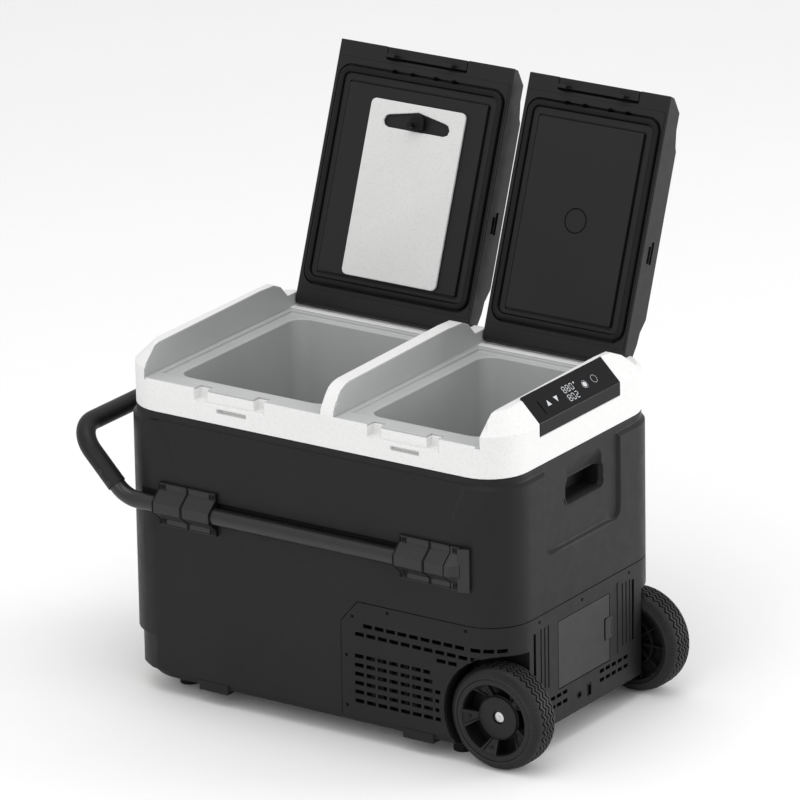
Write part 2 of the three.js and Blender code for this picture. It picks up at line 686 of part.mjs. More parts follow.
function lidShell(name) {
  const { lid: [x0, x1], latch: [l0, l1] } = COMPARTMENT[name];
  const barrel = [100, 60, 20, -20, -55, -90].map((degrees) => {
    const angle = THREE.MathUtils.degToRad(degrees);
    const r = HINGE.barrel;
    return [LID_LENGTH + r * Math.cos(angle), HINGE.z - LID_HEIGHT + r * Math.sin(angle)];
  });
  const pinHole = HINGE.pin + GAP;
  const pivot = latchPivot();
  return without(
    lidPrism([...LID_TOP, ...barrel], [x0, x1]),
    lidPrism(LID_INSIDE, [x0 + 4, x1 - 4]),
    lidBox([x0 + 4, x1 - 4], [22, 326], [-1, 3.5]),
    lidBox([l0 - 0.5, l1 + 0.5], [-1, 17], [-1, 21]),
    rodX(pinHole, [x0 - 1, x1 + 1], 0, 0),
    rodX(LATCH_PIVOT.pin + GAP, [l0 - 6, l1 + 6], pivot.y, pivot.z, 10),
  );
}

function lidPanel(name) {
  const [x0, x1] = COMPARTMENT[name].lid;
  const plate = lidBox([x0 + 4.3, x1 - 4.3], [22.3, 325.7], [0, 3]);
  return plate.add(lidBox([x0 + 27.5, x1 - 27.5], [53, 302], [-4, 1]));
}

function lidFoam(name) {
  const [x0, x1] = COMPARTMENT[name].lid;
  const outline = [
    [22.6, 3.4], [22.6, 24.9], [43.2, 24.9], [64.2, 30.1], [70.2, 33.6], [282.8, 33.8], [299.8, 24.8],
    [315.8, 23], [325.5, 18.6], [325.5, 3.4],
  ];
  return lidPrism(outline, [x0 + 4.4, x1 - 4.4]);
}

function lidGasket(name) {
  const [x0, x1] = COMPARTMENT[name].lid;
  const back = SEAL.back - SEAL.front + 32;
  const heights = [-SEAL.height, -GAP];
  const inner = SEAL.inset + SEAL.width;
  const ring = lidBox([x0 + SEAL.inset, x1 - SEAL.inset], [32, back], heights);
  return ring.subtract(
    lidBox([x0 + inner, x1 - inner], [32 + SEAL.width, back - SEAL.width], [-10, 5]),
  );
}

// Flap that fills the cut-out in the lid's front edge; its two claws reach below the lid.
function latch(name) {
  const [l0, l1] = COMPARTMENT[name].latch;
  const x = [l0 + 0.5, l1 - 0.5];
  const flap = [
    [0.5, 0.3], [13.5, 0.3], [13.5, 4], [5, 4], [5.3, 8.6], [9, 12.9], [12.5, 12.5], [15.4, 14],
    [16, 16.3], [14.8, 18.7], [12.5, 19.5], [10.4, 18.9], [1.8, 10],
  ];
  const hook = [[9.5, 1], [12.5, 1], [12.5, -9], [14.3, -10.5], [13.5, -13], [9.5, -13]];
  const claws = [l0 + 5, l1 - 29].map((start) => lidPrism(hook, [start, start + 14]));
  const { y, z } = latchPivot();
  const pinHole = rodX(LATCH_PIVOT.pin + GAP, [l0 - 2, l1 + 2], y, z, 10);
  return joined(lidPrism(flap, x), ...claws).subtract(pinHole);
}

function latchPivot() {
  return { y: LATCH_PIVOT.s - LID_LENGTH, z: LATCH_PIVOT.t + LID_HEIGHT - HINGE.z };
}

function latchPin(name) {
  const [l0, l1] = COMPARTMENT[name].latch;
  const { y, z } = latchPivot();
  return rodX(LATCH_PIVOT.pin, [l0 - 5, l1 + 5], y, z, 8);
}

// Cutting board carried on the left lid's panel, with a hanging slot round the turn knob.
const BOARD_CENTRE = -110;
const KNOB = { x: -107, s: 95, radius: 11 };

function lidFacePrism(points, [t0, t1]) {
  const placed = points.map(([x, s]) => [x, s - LID_LENGTH]);
  return prismZ(placed, [t0 + LID_HEIGHT - HINGE.z, t1 + LID_HEIGHT - HINGE.z]);
}

function cuttingBoard() {
  const outline = roundedOutline(73, 116, 7, 3).map(([x, y]) => [x + BOARD_CENTRE, y + 184]);
  const slot = [
    [-152, 102.6], [-158, 100], [-160, 94], [-157, 88], [-152, 86], [-109, 77.9],
    [-66, 86], [-61, 88], [-58, 94], [-60, 100], [-66, 102.6],
  ];
  return lidFacePrism(outline, [-8.3, -4.3]).subtract(lidFacePrism(slot, [-12, 0]));
}

// Turn knob: a neck in the slot, and a half-round cam that overlaps the board when turned round.
function boardKnob() {
  const circle = (x, at, radius, sides) =>
    Array.from({ length: sides }, (_, i) => {
      const angle = (i * 2 * Math.PI) / sides;
      return [x + radius * Math.cos(angle), at + radius * Math.sin(angle)];
    });
  const dome = circle(KNOB.x, KNOB.s - 4, KNOB.radius, 20).filter(([, at]) => at < KNOB.s - 3.9);
  const cam = [...dome, [KNOB.x + KNOB.radius, KNOB.s + 5], [KNOB.x - KNOB.radius, KNOB.s + 5]];
  return joined(
    lidFacePrism(circle(KNOB.x, KNOB.s, 6, 14), [-10, -4.3]),
    lidFacePrism(order(cam), [-12.5, -8.7]),
    lidFacePrism(circle(KNOB.x - 4, KNOB.s, 3.8, 12), [-24, -10]),
  );
}

// The points of a convex outline, put in order round its middle.
function order(points) {
  const [x, y] = [0, 1].map((k) => points.reduce((sum, p) => sum + p[k], 0) / points.length);
  return points.sort((p, q) => Math.atan2(p[1] - y, p[0] - x) - Math.atan2(q[1] - y, q[0] - x));
}

// ---------------------------------------------------------------- assembly
const fridge = new THREE.Group();

fridge.add(
  piece("outer_shell", outerShell(), BLACK),
  piece("base_pan", basePan(), BLACK),
  piece("top_frame", topFrame(), WHITE),
  piece("insulation_foam", insulationFoam(), FOAM),
  piece("compressor_cover", compressorCover(), BLACK),
  piece("compressor", compressor(), BLACK),
  piece("condenser", condenser(), ALLOY),
  piece("fan_shroud", fanShroud(), BLACK),
  piece("fan_rotor", fanRotor(), BLACK),
  piece("battery_pack", box([195, 290], [-60, 50], [-303, -220]), CELLS),
  piece("battery_door", batteryDoor(), BLACK),
  piece("power_socket", powerSocket(), BLACK),
  piece("data_socket", dataSocket(), BLACK),
  piece("control_panel", controlPanel(), GLOSS),
  piece("control_board", box([266, 283], [-82, 80], [46, 48]), CIRCUIT),
  piece("axle", rodY(5, [-160.7, 160.7], WHEEL.x, WHEEL.z), STEEL),
  piece("hinge_pin_left", rodX(HINGE.pin, [-261, 28.9], HINGE.y, HINGE.z, 14), STEEL),
  piece("hinge_pin_right", rodX(HINGE.pin, [30.2, 265], HINGE.y, HINGE.z, 14), STEEL),
  piece("handle_grip", handleGrip(), BLACK),
);

FEET.forEach((place, i) => fridge.add(piece(`foot_${i + 1}`, foot(place), RUBBER)));

const BRACKET_SPANS = [[-227, -182.7], [-182.3, -138], [141.5, 186.7], [187.1, 246]];
for (const [side, sideName] of [[-1, "front"], [1, "back"]]) {
  BRACKET_SPANS.forEach((x, i) => {
    const last = i === BRACKET_SPANS.length - 1;
    fridge.add(piece(`bracket_${sideName}_${i + 1}`, bracket(side, x, last), BLACK));
  });
  fridge.add(
    piece(`handle_tube_${sideName}`, handleTube(side), BLACK),
    piece(`wheel_arch_${sideName}`, wheelArch(side), BLACK),
    piece(`tyre_${sideName}`, tyre(side), RUBBER),
    piece(`hub_${sideName}`, hub(side), BLACK),
    piece(`wheel_bolt_${sideName}`, wheelBolt(side), STEEL),
  );
}

for (const name of ["left", "right"]) {
  fridge.add(
    piece(`liner_${name}`, liner(name), GREY),
    piece(`evaporator_${name}`, evaporator(name, EVAPORATOR[name]), ALLOY),
  );
  const lid = new THREE.Group();
  lid.position.set(0, HINGE.y, HINGE.z);
  lid.rotation.x = THREE.MathUtils.degToRad(-LID_OPEN);
  lid.add(
    piece(`lid_shell_${name}`, lidShell(name), BLACK),
    piece(`lid_panel_${name}`, lidPanel(name), BLACK),
    piece(`lid_foam_${name}`, lidFoam(name), FOAM),
    piece(`lid_gasket_${name}`, lidGasket(name), RUBBER),
    piece(`latch_${name}`, latch(name), BLACK),
    piece(`latch_pin_${name}`, latchPin(name), STEEL),
  );
  if (name === "left") {
    lid.add(piece("cutting_board", cuttingBoard(), BOARD), piece("board_knob", boardKnob(), BLACK));
  }
  fridge.add(lid);
}

// The origin is the middle of the footprint of the whole object, on the ground.
const bounds = new THREE.Box3().setFromObject(fridge, true);
const middle = bounds.getCenter(new THREE.Vector3());
fridge.position.set(-middle.x, -middle.y, -bounds.min.z);
fridge.updateMatrixWorld(true);

export default fridge;
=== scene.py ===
"""Looks of the compressor cooler fridge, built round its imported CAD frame."""

import json
import math

import bmesh
import bpy
from mathutils import Matrix, Vector
from mathutils.kdtree import KDTree

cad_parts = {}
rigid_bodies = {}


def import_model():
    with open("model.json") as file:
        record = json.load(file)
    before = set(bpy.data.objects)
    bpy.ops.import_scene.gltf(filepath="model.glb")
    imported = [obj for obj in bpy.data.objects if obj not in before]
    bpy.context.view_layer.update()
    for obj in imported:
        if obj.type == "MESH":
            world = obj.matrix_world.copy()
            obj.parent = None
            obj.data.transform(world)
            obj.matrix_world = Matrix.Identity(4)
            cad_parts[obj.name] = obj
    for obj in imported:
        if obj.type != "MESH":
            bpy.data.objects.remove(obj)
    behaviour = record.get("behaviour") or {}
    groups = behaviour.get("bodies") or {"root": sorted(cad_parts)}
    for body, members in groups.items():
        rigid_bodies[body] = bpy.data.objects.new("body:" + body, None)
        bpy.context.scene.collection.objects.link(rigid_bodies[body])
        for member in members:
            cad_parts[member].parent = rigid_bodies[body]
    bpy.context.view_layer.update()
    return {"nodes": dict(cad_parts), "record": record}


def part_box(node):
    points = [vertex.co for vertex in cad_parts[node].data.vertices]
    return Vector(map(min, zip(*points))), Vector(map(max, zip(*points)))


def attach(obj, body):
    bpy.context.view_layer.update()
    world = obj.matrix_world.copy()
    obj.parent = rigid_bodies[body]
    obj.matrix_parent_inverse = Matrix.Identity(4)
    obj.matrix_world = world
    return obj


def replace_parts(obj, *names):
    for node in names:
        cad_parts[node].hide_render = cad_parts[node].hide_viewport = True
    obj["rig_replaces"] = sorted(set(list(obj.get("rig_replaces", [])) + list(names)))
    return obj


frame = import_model()

# ------------------------------------------------------------------ places and sizes (mm)
# Measures are written in the cabinet's own frame: x along it, y towards the lid hinges and
# z up from the seam between the black body and the white top frame.
shell_low, shell_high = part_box("outer_shell")
SEAM = Vector((
    (shell_low.x + shell_high.x) / 2,
    (shell_low.y + shell_high.y) / 2,
    shell_low.z + 0.350,
))
HINGE_Y, HINGE_Z, LID_OPEN = 164.0, 50.8, math.radians(110)
LID_LENGTH, LID_HEIGHT = 343.0, 43.0
LIDS = {
    "left": {"x": (-251, 18), "pegs": (-160, -132, -96, -68)},
    "right": {"x": (41, 254), "pegs": (105, 132, 170, 196)},
}
WHEEL_X, WHEEL_Z = 274.5, -314.1
WHEEL_FACE, TYRE_MIDDLE = 183.0, 158.3      # out from the cabinet's middle plane
TUBE_Y, TUBE_Z, TUBE_R, TUBE_END = 191.5, -119.3, 11.0, 214.0
BEND_X, BEND_RADIUS = -275.6, 45.0
GRIP_X, GRIP_Z, GRIP_R, GRIP_START, GRIP_CORNER = -351.8, -39.9, 12.6, 20.0, 36.0
X_AXIS, Y_AXIS, Z_AXIS = Vector((1, 0, 0)), Vector((0, 1, 0)), Vector((0, 0, 1))


def at(x, y, z):
    """A point of the cabinet, in the row frame, in metres."""
    return Vector((x, y, z)) / 1000 + SEAM


def on_lid(x, s, t):
    """A point of an open lid: s back from its front edge, t up from its underside when closed."""
    y, z = s - LID_LENGTH, t + LID_HEIGHT - HINGE_Z
    c, k = math.cos(LID_OPEN), math.sin(LID_OPEN)
    return at(x, HINGE_Y + y * c + z * k, HINGE_Z - y * k + z * c)


# ------------------------------------------------------------------ materials
def noise(tree, coords, scale, detail, roughness=0.55):
    n = tree.nodes.new("ShaderNodeTexNoise")
    n.inputs["Scale"].default_value = scale
    n.inputs["Detail"].default_value = detail
    n.inputs["Roughness"].default_value = roughness
    tree.links.new(coords, n.inputs["Vector"])
    return n.outputs["Fac"]


def ramp(tree, value, low, high, out_low, out_high):
    n = tree.nodes.new("ShaderNodeMapRange")
    for key, v in zip(("From Min", "From Max", "To Min", "To Max"), (low, high, out_low, out_high)):
        n.inputs[key].default_value = v
    tree.links.new(value, n.inputs["Value"])
    return n.outputs["Result"]


def mix_colour(tree, fac, a, b):
    n = tree.nodes.new("ShaderNodeMix")
    n.data_type = "RGBA"
    tree.links.new(fac, n.inputs["Factor"])
    for socket, value in ((n.inputs[6], a), (n.inputs[7], b)):
        if isinstance(value, tuple):
            socket.default_value = (*value, 1)
        else:
            tree.links.new(value, socket)
    return n.outputs[2]


GRAIN_DEPTH, PEEL_DEPTH = 0.0002, 0.0006   # heights of the surface relief, in metres
PEEL_SCALE, TONE_SCALE, WEAR_SCALE = 260, 14, 60
COAT_ROUGHNESS = 0.08


def surface(name, colour, rough, *, metal=0.0, grain=900, bump=0.12, tone=0.1, spots=None,
            coat=0.0, peel=0.0, specular=0.5, rough_spread=0.06):
    """A moulded or coated surface: fine grain, slight tone drift, worn roughness, flecks.

    spots is (colour, scale, size) of the flecks, and peel the strength of an orange-peel wave.
    """
    mat = bpy.data.materials.new(name)
    mat.use_nodes = True
    tree = mat.node_tree
    shader = tree.nodes["Principled BSDF"]
    coords = tree.nodes.new("ShaderNodeTexCoord").outputs["Object"]
    dark = tuple(c * (1 - tone) for c in colour)
    light = tuple(min(1.0, c * (1 + tone)) for c in colour)
    drift = ramp(tree, noise(tree, coords, TONE_SCALE, 4), 0.3, 0.7, 0, 1)
    base = mix_colour(tree, drift, dark, light)
    if spots:
        spot_colour, spot_scale, limit = spots
        cells = tree.nodes.new("ShaderNodeTexVoronoi")
        cells.inputs["Scale"].default_value = spot_scale
        tree.links.new(coords, cells.inputs["Vector"])
        fleck = ramp(tree, cells.outputs["Distance"], limit, limit * 1.6, 1, 0)
        pick = ramp(tree, noise(tree, coords, spot_scale * 0.37, 1), 0.5, 0.6, 0, 1)
        both = tree.nodes.new("ShaderNodeMath")
        both.operation = "MULTIPLY"
        tree.links.new(fleck, both.inputs[0])
        tree.links.new(pick, both.inputs[1])
        base = mix_colour(tree, both.outputs[0], base, spot_colour)
    tree.links.new(base, shader.inputs["Base Color"])
    wear = noise(tree, coords, WEAR_SCALE, 5, 0.65)
    worn = ramp(tree, wear, 0.3, 0.7, rough - rough_spread, rough + rough_spread)
    tree.links.new(worn, shader.inputs["Roughness"])
    shader.inputs["Metallic"].default_value = metal
    shader.inputs["Specular IOR Level"].default_value = specular
    shader.inputs["Coat Weight"].default_value = coat
    shader.inputs["Coat Roughness"].default_value = COAT_ROUGHNESS
    fine = tree.nodes.new("ShaderNodeTexVoronoi")
    fine.feature = "SMOOTH_F1"
    fine.inputs["Scale"].default_value = grain
    tree.links.new(coords, fine.inputs["Vector"])
    relief = tree.nodes.new("ShaderNodeBump")
    relief.inputs["Strength"].default_value = bump
    relief.inputs["Distance"].default_value = GRAIN_DEPTH
    tree.links.new(fine.outputs["Distance"], relief.inputs["Height"])
    last = relief
    if peel:
        wave = tree.nodes.new("ShaderNodeBump")
        wave.inputs["Strength"].default_value = peel
        wave.inputs["Distance"].default_value = PEEL_DEPTH
        tree.links.new(noise(tree, coords, PEEL_SCALE, 2), wave.inputs["Height"])
        tree.links.new(relief.outputs["Normal"], wave.inputs["Normal"])
        last = wave
    tree.links.new(last.outputs["Normal"], shader.inputs["Normal"])
    return mat


BODY = surface("body_plastic", (0.0095, 0.0095, 0.0098), 0.48, grain=1300, bump=0.22,
               tone=0.12, specular=0.22)
LID = surface("lid_plastic", (0.0095, 0.0095, 0.0098), 0.46, grain=1100, bump=0.2, tone=0.1,
              specular=0.26)
WHITE = surface("frame_plastic", (0.79, 0.79, 0.785), 0.42, grain=1500, bump=0.1, tone=0.012,
                spots=((0.68, 0.68, 0.68), 900, 0.3), specular=0.3)
GREY = surface("liner_plastic", (0.47, 0.475, 0.475), 0.36, grain=1200, bump=0.05, tone=0.03,
               specular=0.4)
GLOSS = surface("panel_gloss", (0.005, 0.005, 0.006), 0.16, grain=400, bump=0.01, tone=0.1,
                coat=0.05, rough_spread=0.04, specular=0.12)
BRACKET = surface("bracket_plastic", (0.0115, 0.0115, 0.012), 0.34, grain=1200, bump=0.1,
                  tone=0.1, specular=0.42)
COAT = surface("tube_coat", (0.011, 0.011, 0.012), 0.34, grain=700, bump=0.06, tone=0.1,
               peel=0.12, specular=0.5)
GRIP = surface("grip_rubber", (0.0085, 0.0085, 0.009), 0.48, grain=900, bump=0.3, tone=0.12,
               specular=0.28)
TYRE = surface("tyre_rubber", (0.0105, 0.0105, 0.011), 0.58, grain=600, bump=0.25, tone=0.2,
               specular=0.35)
HUB = surface("hub_plastic", (0.0085, 0.0085, 0.009), 0.44, grain=1000, bump=0.12, tone=0.12,
              specular=0.3)
DOOR = surface("door_plastic", (0.016, 0.016, 0.0165), 0.42, grain=1400, bump=0.1, tone=0.1,
               specular=0.34)
LINE = surface("joint_shadow", (0.001, 0.001, 0.001), 0.85, grain=700, bump=0.05, specular=0.03)
RUBBER = surface("soft_rubber", (0.004, 0.004, 0.0045), 0.55, grain=700, bump=0.15, tone=0.2,
                 specular=0.2)
STEEL = surface("zinc_steel", (0.66, 0.66, 0.67), 0.28, metal=1.0, grain=500, bump=0.05)
SCREW = surface("black_screw", (0.012, 0.012, 0.0125), 0.35, grain=800, bump=0.1,
                specular=0.6)
# Near black: partly a dark coating on the condenser and evaporators, partly painted shade inside
# the vents.
COATED_ALLOY_AND_SHADE = surface("coated_alloy_and_vent_shade", (0.012, 0.012, 0.013), 0.45, grain=500, bump=0.1, specular=0.3)
BOARD = surface("board_plastic", (0.66, 0.66, 0.655), 0.5, grain=900, bump=0.2, tone=0.02,
                spots=((0.52, 0.52, 0.52), 800, 0.26), specular=0.3)
FOAM = surface("foam", (0.75, 0.66, 0.4), 0.9, grain=300, bump=0.5)
CIRCUIT = surface("solder_mask", (0.02, 0.14, 0.05), 0.4, grain=300, bump=0.1)
CELLS = surface("cell_wrap", (0.05, 0.08, 0.11), 0.35, grain=200, bump=0.1)
PRINT = surface("printed_ink", (0.6, 0.62, 0.64), 0.4, grain=900, bump=0.02)
FLOOR = surface("studio_floor", (0.985, 0.985, 0.985), 0.7, grain=60, bump=0.02, tone=0.004,
                specular=0.15)

SLOT_LOOK = {
    "black_body": BODY, "white_frame": WHITE, "grey_liner": GREY, "black_lid": LID,
    "black_gloss": GLOSS, "black_metal": COAT, "grip": GRIP, "tyre": TYRE, "rubber": RUBBER,
    "steel": STEEL, "alloy": COATED_ALLOY_AND_SHADE, "foam": FOAM, "board": BOARD, "circuit": CIRCUIT,
    "cells": CELLS,
}
NODE_SLOT = {s["node"]: s["material_slot"] for s in frame["record"]["subparts"]}
NODE_BODY = {n: b for b, ns in frame["record"]["behaviour"]["bodies"].items() for n in ns}


# ------------------------------------------------------------------ building pieces
CORNER = math.radians(28)   # edges sharper than this are rounded
ROOM = 0.3                  # share of the shortest neighbouring edge that a rounding may use
EVEN_WEIGHT = 90            # how far large faces win over small ones in the shading
FLAT = math.radians(0.05)   # faces that differ by less than this are one flat face
FOLD = math.radians(140)    # a rounding that turns this far has folded over
WELD = 1e-6                 # corners of a piece closer than this are one corner, in metres
CAD_WELD = 2e-6             # the same for a CAD node, whose corners were rounded when packed
PLANE_SNAP = 1e-6           # corners this near a cutting plane count as on it, in metres
TINY = 0.00005              # edges shorter than this are closed up, in metres


def finish_mesh(obj, body, slot, replaced, bevel, sharp):
    """Smooth shading with a small edge rounding, and the piece's place in the frame."""
    mesh = obj.data
    mesh.polygons.foreach_set("use_smooth", [True] * len(mesh.polygons))
    mesh.set_sharp_from_angle(angle=math.radians(sharp))
    if bevel:
        edges = obj.modifiers.new("edges", "BEVEL")
        edges.width = bevel / 1000
        edges.segments = 3
        edges.limit_method = "WEIGHT"
        edges.use_clamp_overlap = False
        edges.loop_slide = False
        even = obj.modifiers.new("even_shading", "WEIGHTED_NORMAL")
        even.keep_sharp = True
        even.weight = EVEN_WEIGHT
    bpy.context.scene.collection.objects.link(obj)
    if bevel:
        ease_folds(obj, bevel)
    if replaced:
        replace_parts(obj, *replaced)
    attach(obj, body)
    return obj


def weigh_edges(bm, width, corner=CORNER):
    """Each corner edge gets the share of the bevel that its shortest neighbour leaves room for."""
    weight = bm.edges.layers.float.new("bevel_weight_edge")
    room = {v: ROOM * min((e.calc_length() for e in v.link_edges), default=0) for v in bm.verts}
    for edge in bm.edges:
        if edge.is_manifold and edge.calc_face_angle(0) > corner:
            edge[weight] = min(1.0, min(room[v] for v in edge.verts) * 1000 / width)


def folds(obj):
    """Middles of the edges where the rounded mesh folds back on itself."""
    shown = obj.evaluated_get(bpy.context.evaluated_depsgraph_get())
    bm = bmesh.new()
    bm.from_mesh(shown.to_mesh())
    found = [
        (e.verts[0].co + e.verts[1].co) / 2
        for e in bm.edges
        if e.is_manifold and e.calc_face_angle(0) > FOLD and e.calc_length() > 2 * TINY
    ]
    bm.free()
    shown.to_mesh_clear()
    return found


def ease_folds(obj, width, rounds=4):
    """Takes the rounding down, then off, wherever it folds."""
    mesh = obj.data
    weight = mesh.attributes["bevel_weight_edge"].data
    for turn in range(rounds):
        found = folds(obj)
        if not found:
            return
        tree = KDTree(len(found))
        for i, point in enumerate(found):
            tree.insert(point, i)
        tree.balance()
        reach = (2 + turn) * width / 1000
        for edge in mesh.edges:
            if weight[edge.index].value == 0:
                continue
            a, b = (mesh.vertices[i].co for i in edge.vertices)
            steps = 2 + int(2 * (b - a).length / reach)
            if any(tree.find(a.lerp(b, k / steps))[2] < reach for k in range(steps + 1)):
                weight[edge.index].value *= 0.3 if turn == 0 else 0
        mesh.update()
        obj.update_tag()
        bpy.context.view_layer.update()


def facing_out(part):
    """A closed part with its faces turned outwards."""
    verts, faces = part
    volume = 0.0
    for face in faces:
        a = verts[face[0]]
        for i in range(1, len(face) - 1):
            volume += a.dot(verts[face[i]].cross(verts[face[i + 1]]))
    return (verts, [f[::-1] for f in faces]) if volume < 0 else part


def piece(name, parts, look, body, slot=None, replaced=(), bevel=0.0, sharp=35):
    """One object made of closed parts."""
    verts, faces = [], []
    for part in parts:
        part_verts, part_faces = facing_out(part)
        base = len(verts)
        verts += part_verts
        faces += [tuple(i + base for i in face) for face in part_faces]
    mesh = bpy.data.meshes.new(name)
    mesh.from_pydata([tuple(v) for v in verts], [], faces)
    bm = bmesh.new()
    bm.from_mesh(mesh)
    bmesh.ops.remove_doubles(bm, verts=bm.verts, dist=WELD)
    if bevel:
        weigh_edges(bm, bevel)
    bm.to_mesh(mesh)
    bm.free()
    mesh.materials.append(look)
    return finish_mesh(bpy.data.objects.new(name, mesh), body, slot, replaced, bevel, sharp)


def plane_cut(bm, point, normal, clear_outer=False):
    """Cuts the whole mesh at a plane and returns the edges of the cut."""
    cut = bmesh.ops.bisect_plane(
        bm, geom=bm.verts[:] + bm.edges[:] + bm.faces[:], dist=PLANE_SNAP, plane_co=point,
        plane_no=normal, clear_outer=clear_outer,
    )
    return [e for e in cut["geom_cut"] if isinstance(e, bmesh.types.BMEdge)]


def skin(node, bevel=0.6, sharp=35, corner=CORNER, look=None, inner=None, inner_look=None,
         planes=(), trim=None):
    """A CAD node's own shape with flat faces made whole and its edges rounded.

    Faces that inner picks get inner_look. planes split wide faces, so that far corners share no
    long triangles, and what lies beyond the plane trim is cut away. A plane is (point, normal).
    """
    mesh = frame["nodes"][node].data.copy()
    mesh.materials.clear()
    mesh.name = node + "_skin"
    bm = bmesh.new()
    bm.from_mesh(mesh)
    bmesh.ops.remove_doubles(bm, verts=bm.verts, dist=CAD_WELD)
    if trim:
        bmesh.ops.holes_fill(bm, edges=plane_cut(bm, *trim, clear_outer=True))
    for plane in planes:
        for edge in plane_cut(bm, *plane):
            edge.seam = True
    bmesh.ops.dissolve_limit(
        bm, angle_limit=FLAT, use_dissolve_boundaries=False, verts=bm.verts, edges=bm.edges,
        delimit={"SEAM"},
    )
    bmesh.ops.dissolve_degenerate(bm, dist=TINY, edges=bm.edges)
    wide = [f for f in bm.faces if len(f.verts) > 4]
    bmesh.ops.triangulate(bm, faces=wide, ngon_method="BEAUTY")
    weigh_edges(bm, bevel, corner)
    if inner:
        for face in bm.faces:
            face.material_index = 1 if inner(face) else 0
    bm.to_mesh(mesh)
    bm.free()
    if "custom_normal" in mesh.attributes:
        mesh.attributes.remove(mesh.attributes["custom_normal"])
    slot = NODE_SLOT[node]
    mesh.materials.append(look or SLOT_LOOK[slot])
    if inner:
        mesh.materials.append(inner_look)
    obj = bpy.data.objects.new(node + "_skin", mesh)
    return finish_mesh(obj, NODE_BODY[node], slot, [node], bevel, sharp)


def loft(loops, cap_first=False, cap_last=False):
    """Faces between successive loops of the same number of points."""
    count = len(loops[0])
    verts = [p for loop in loops for p in loop]
    faces = []
    for i in range(len(loops) - 1):
        for j in range(count):
            a, b = i * count + j, i * count + (j + 1) % count
            faces.append((a, b, b + count, a + count))
    if cap_first:
        faces.append(tuple(range(count))[::-1])
    if cap_last:
        faces.append(tuple(range((len(loops) - 1) * count, len(loops) * count)))
    return verts, faces


def tube(path, radius, sides=28):
    """A round bar along a path of points in metres, with flat ends."""
    loops = []
    for i, p in enumerate(path):
        ahead = (path[min(i + 1, len(path) - 1)] - path[max(i - 1, 0)]).normalized()
        if loops:
            side = last_side - ahead * last_side.dot(ahead)
        else:
            side = ahead.cross(Z_AXIS)
        side.normalize()
        last_side = side
        lift = side.cross(ahead)
        loops.append([
            p + (side * math.cos(a) + lift * math.sin(a)) * radius / 1000
            for a in (2 * math.pi * k / sides for k in range(sides))
        ])
    return loft(loops, True, True)


def turned(profile, centre, axis, sides):
    """A solid of revolution: profile is (radius, along) in mm about centre, along the axis."""
    axis = Vector(axis).normalized()
    a = axis.orthogonal().normalized()
    b = axis.cross(a)
    loops = []
    for r, d in profile:
        loops.append([
            centre + (axis * d + (a * math.cos(t) + b * math.sin(t)) * r) / 1000
            for t in (2 * math.pi * k / sides for k in range(sides))
        ])
    ring = profile[0] == profile[-1]
    return loft(loops, not ring and profile[0][0] > 0, not ring and profile[-1][0] > 0)


def rounded(x0, x1, y0, y1, r, steps=8):
    """Points of a rectangle with round corners, anticlockwise, in mm."""
    out = []
    left, right, low, high = x0 + r, x1 - r, y0 + r, y1 - r
    for cx, cy, start in ((right, high, 0), (left, high, 90), (left, low, 180), (right, low, 270)):
        for k in range(steps + 1):
            a = math.radians(start + 90 * k / steps)
            out.append((cx + r * math.cos(a), cy + r * math.sin(a)))
    return out


def rounded_turn(corner, before, after, radius, steps):
    """Arc that rounds a corner of a path, in metres."""
    turn = before.angle(after)
    start = corner - before * (radius * math.tan(turn / 2))
    inward = (after - before * before.dot(after)).normalized()
    centre = start + inward * radius
    return [
        centre - inward * radius * math.cos(a) + before * radius * math.sin(a)
        for a in (turn * i / steps for i in range(steps + 1))
    ]


def box_shape(place, a, b):
    """A box between two corners, set in space by place(x, y, z)."""
    (x0, y0, z0), (x1, y1, z1) = a, b
    verts = [place(x, y, z) for z in (z0, z1) for x, y in ((x0, y0), (x1, y0), (x1, y1), (x0, y1))]
    faces = [(3, 2, 1, 0), (4, 5, 6, 7), (0, 1, 5, 4), (1, 2, 6, 5), (2, 3, 7, 6), (3, 0, 4, 7)]
    return verts, faces


# ------------------------------------------------------------------ wheels
CROWN = [(0, 67.9), (9.8, 67.9), (14.8, 66.8), (19.3, 63.3), (22.6, 59.0)]   # half width, radius
WAVES, PER_WAVE, ZIG = 40, 6, 2.3          # zig-zags round the tread, columns in each, reach
GROOVES = (10.2, 3.4, -3.4, -10.2)         # their middles across the tread
GROOVE = ((1.5, 0), (0.9, 3.2), (-0.9, 3.2), (-1.5, 0))                      # across, deep
# Side wall from the bead out, as (radius, half width); the flank is the ribbed part.
BEAD = [(54.0, 24.0), (54.3, 23.7), (55.5, 24.4), (57.0, 23.6)]
FLANK = [(58.4, 22.8), (62.0, 20.2), (64.2, 17.9)]
SHOULDER = [(65.4, 16.9), (66.3, 15.6)]


def crown(w):
    """Radius of the tread at a distance from the tyre's middle plane."""
    w = abs(w)
    for (w0, r0), (w1, r1) in zip(CROWN, CROWN[1:]):
        if w <= w1:
            return r0 + (r1 - r0) * (w - w0) / (w1 - w0)
    return CROWN[-1][1]


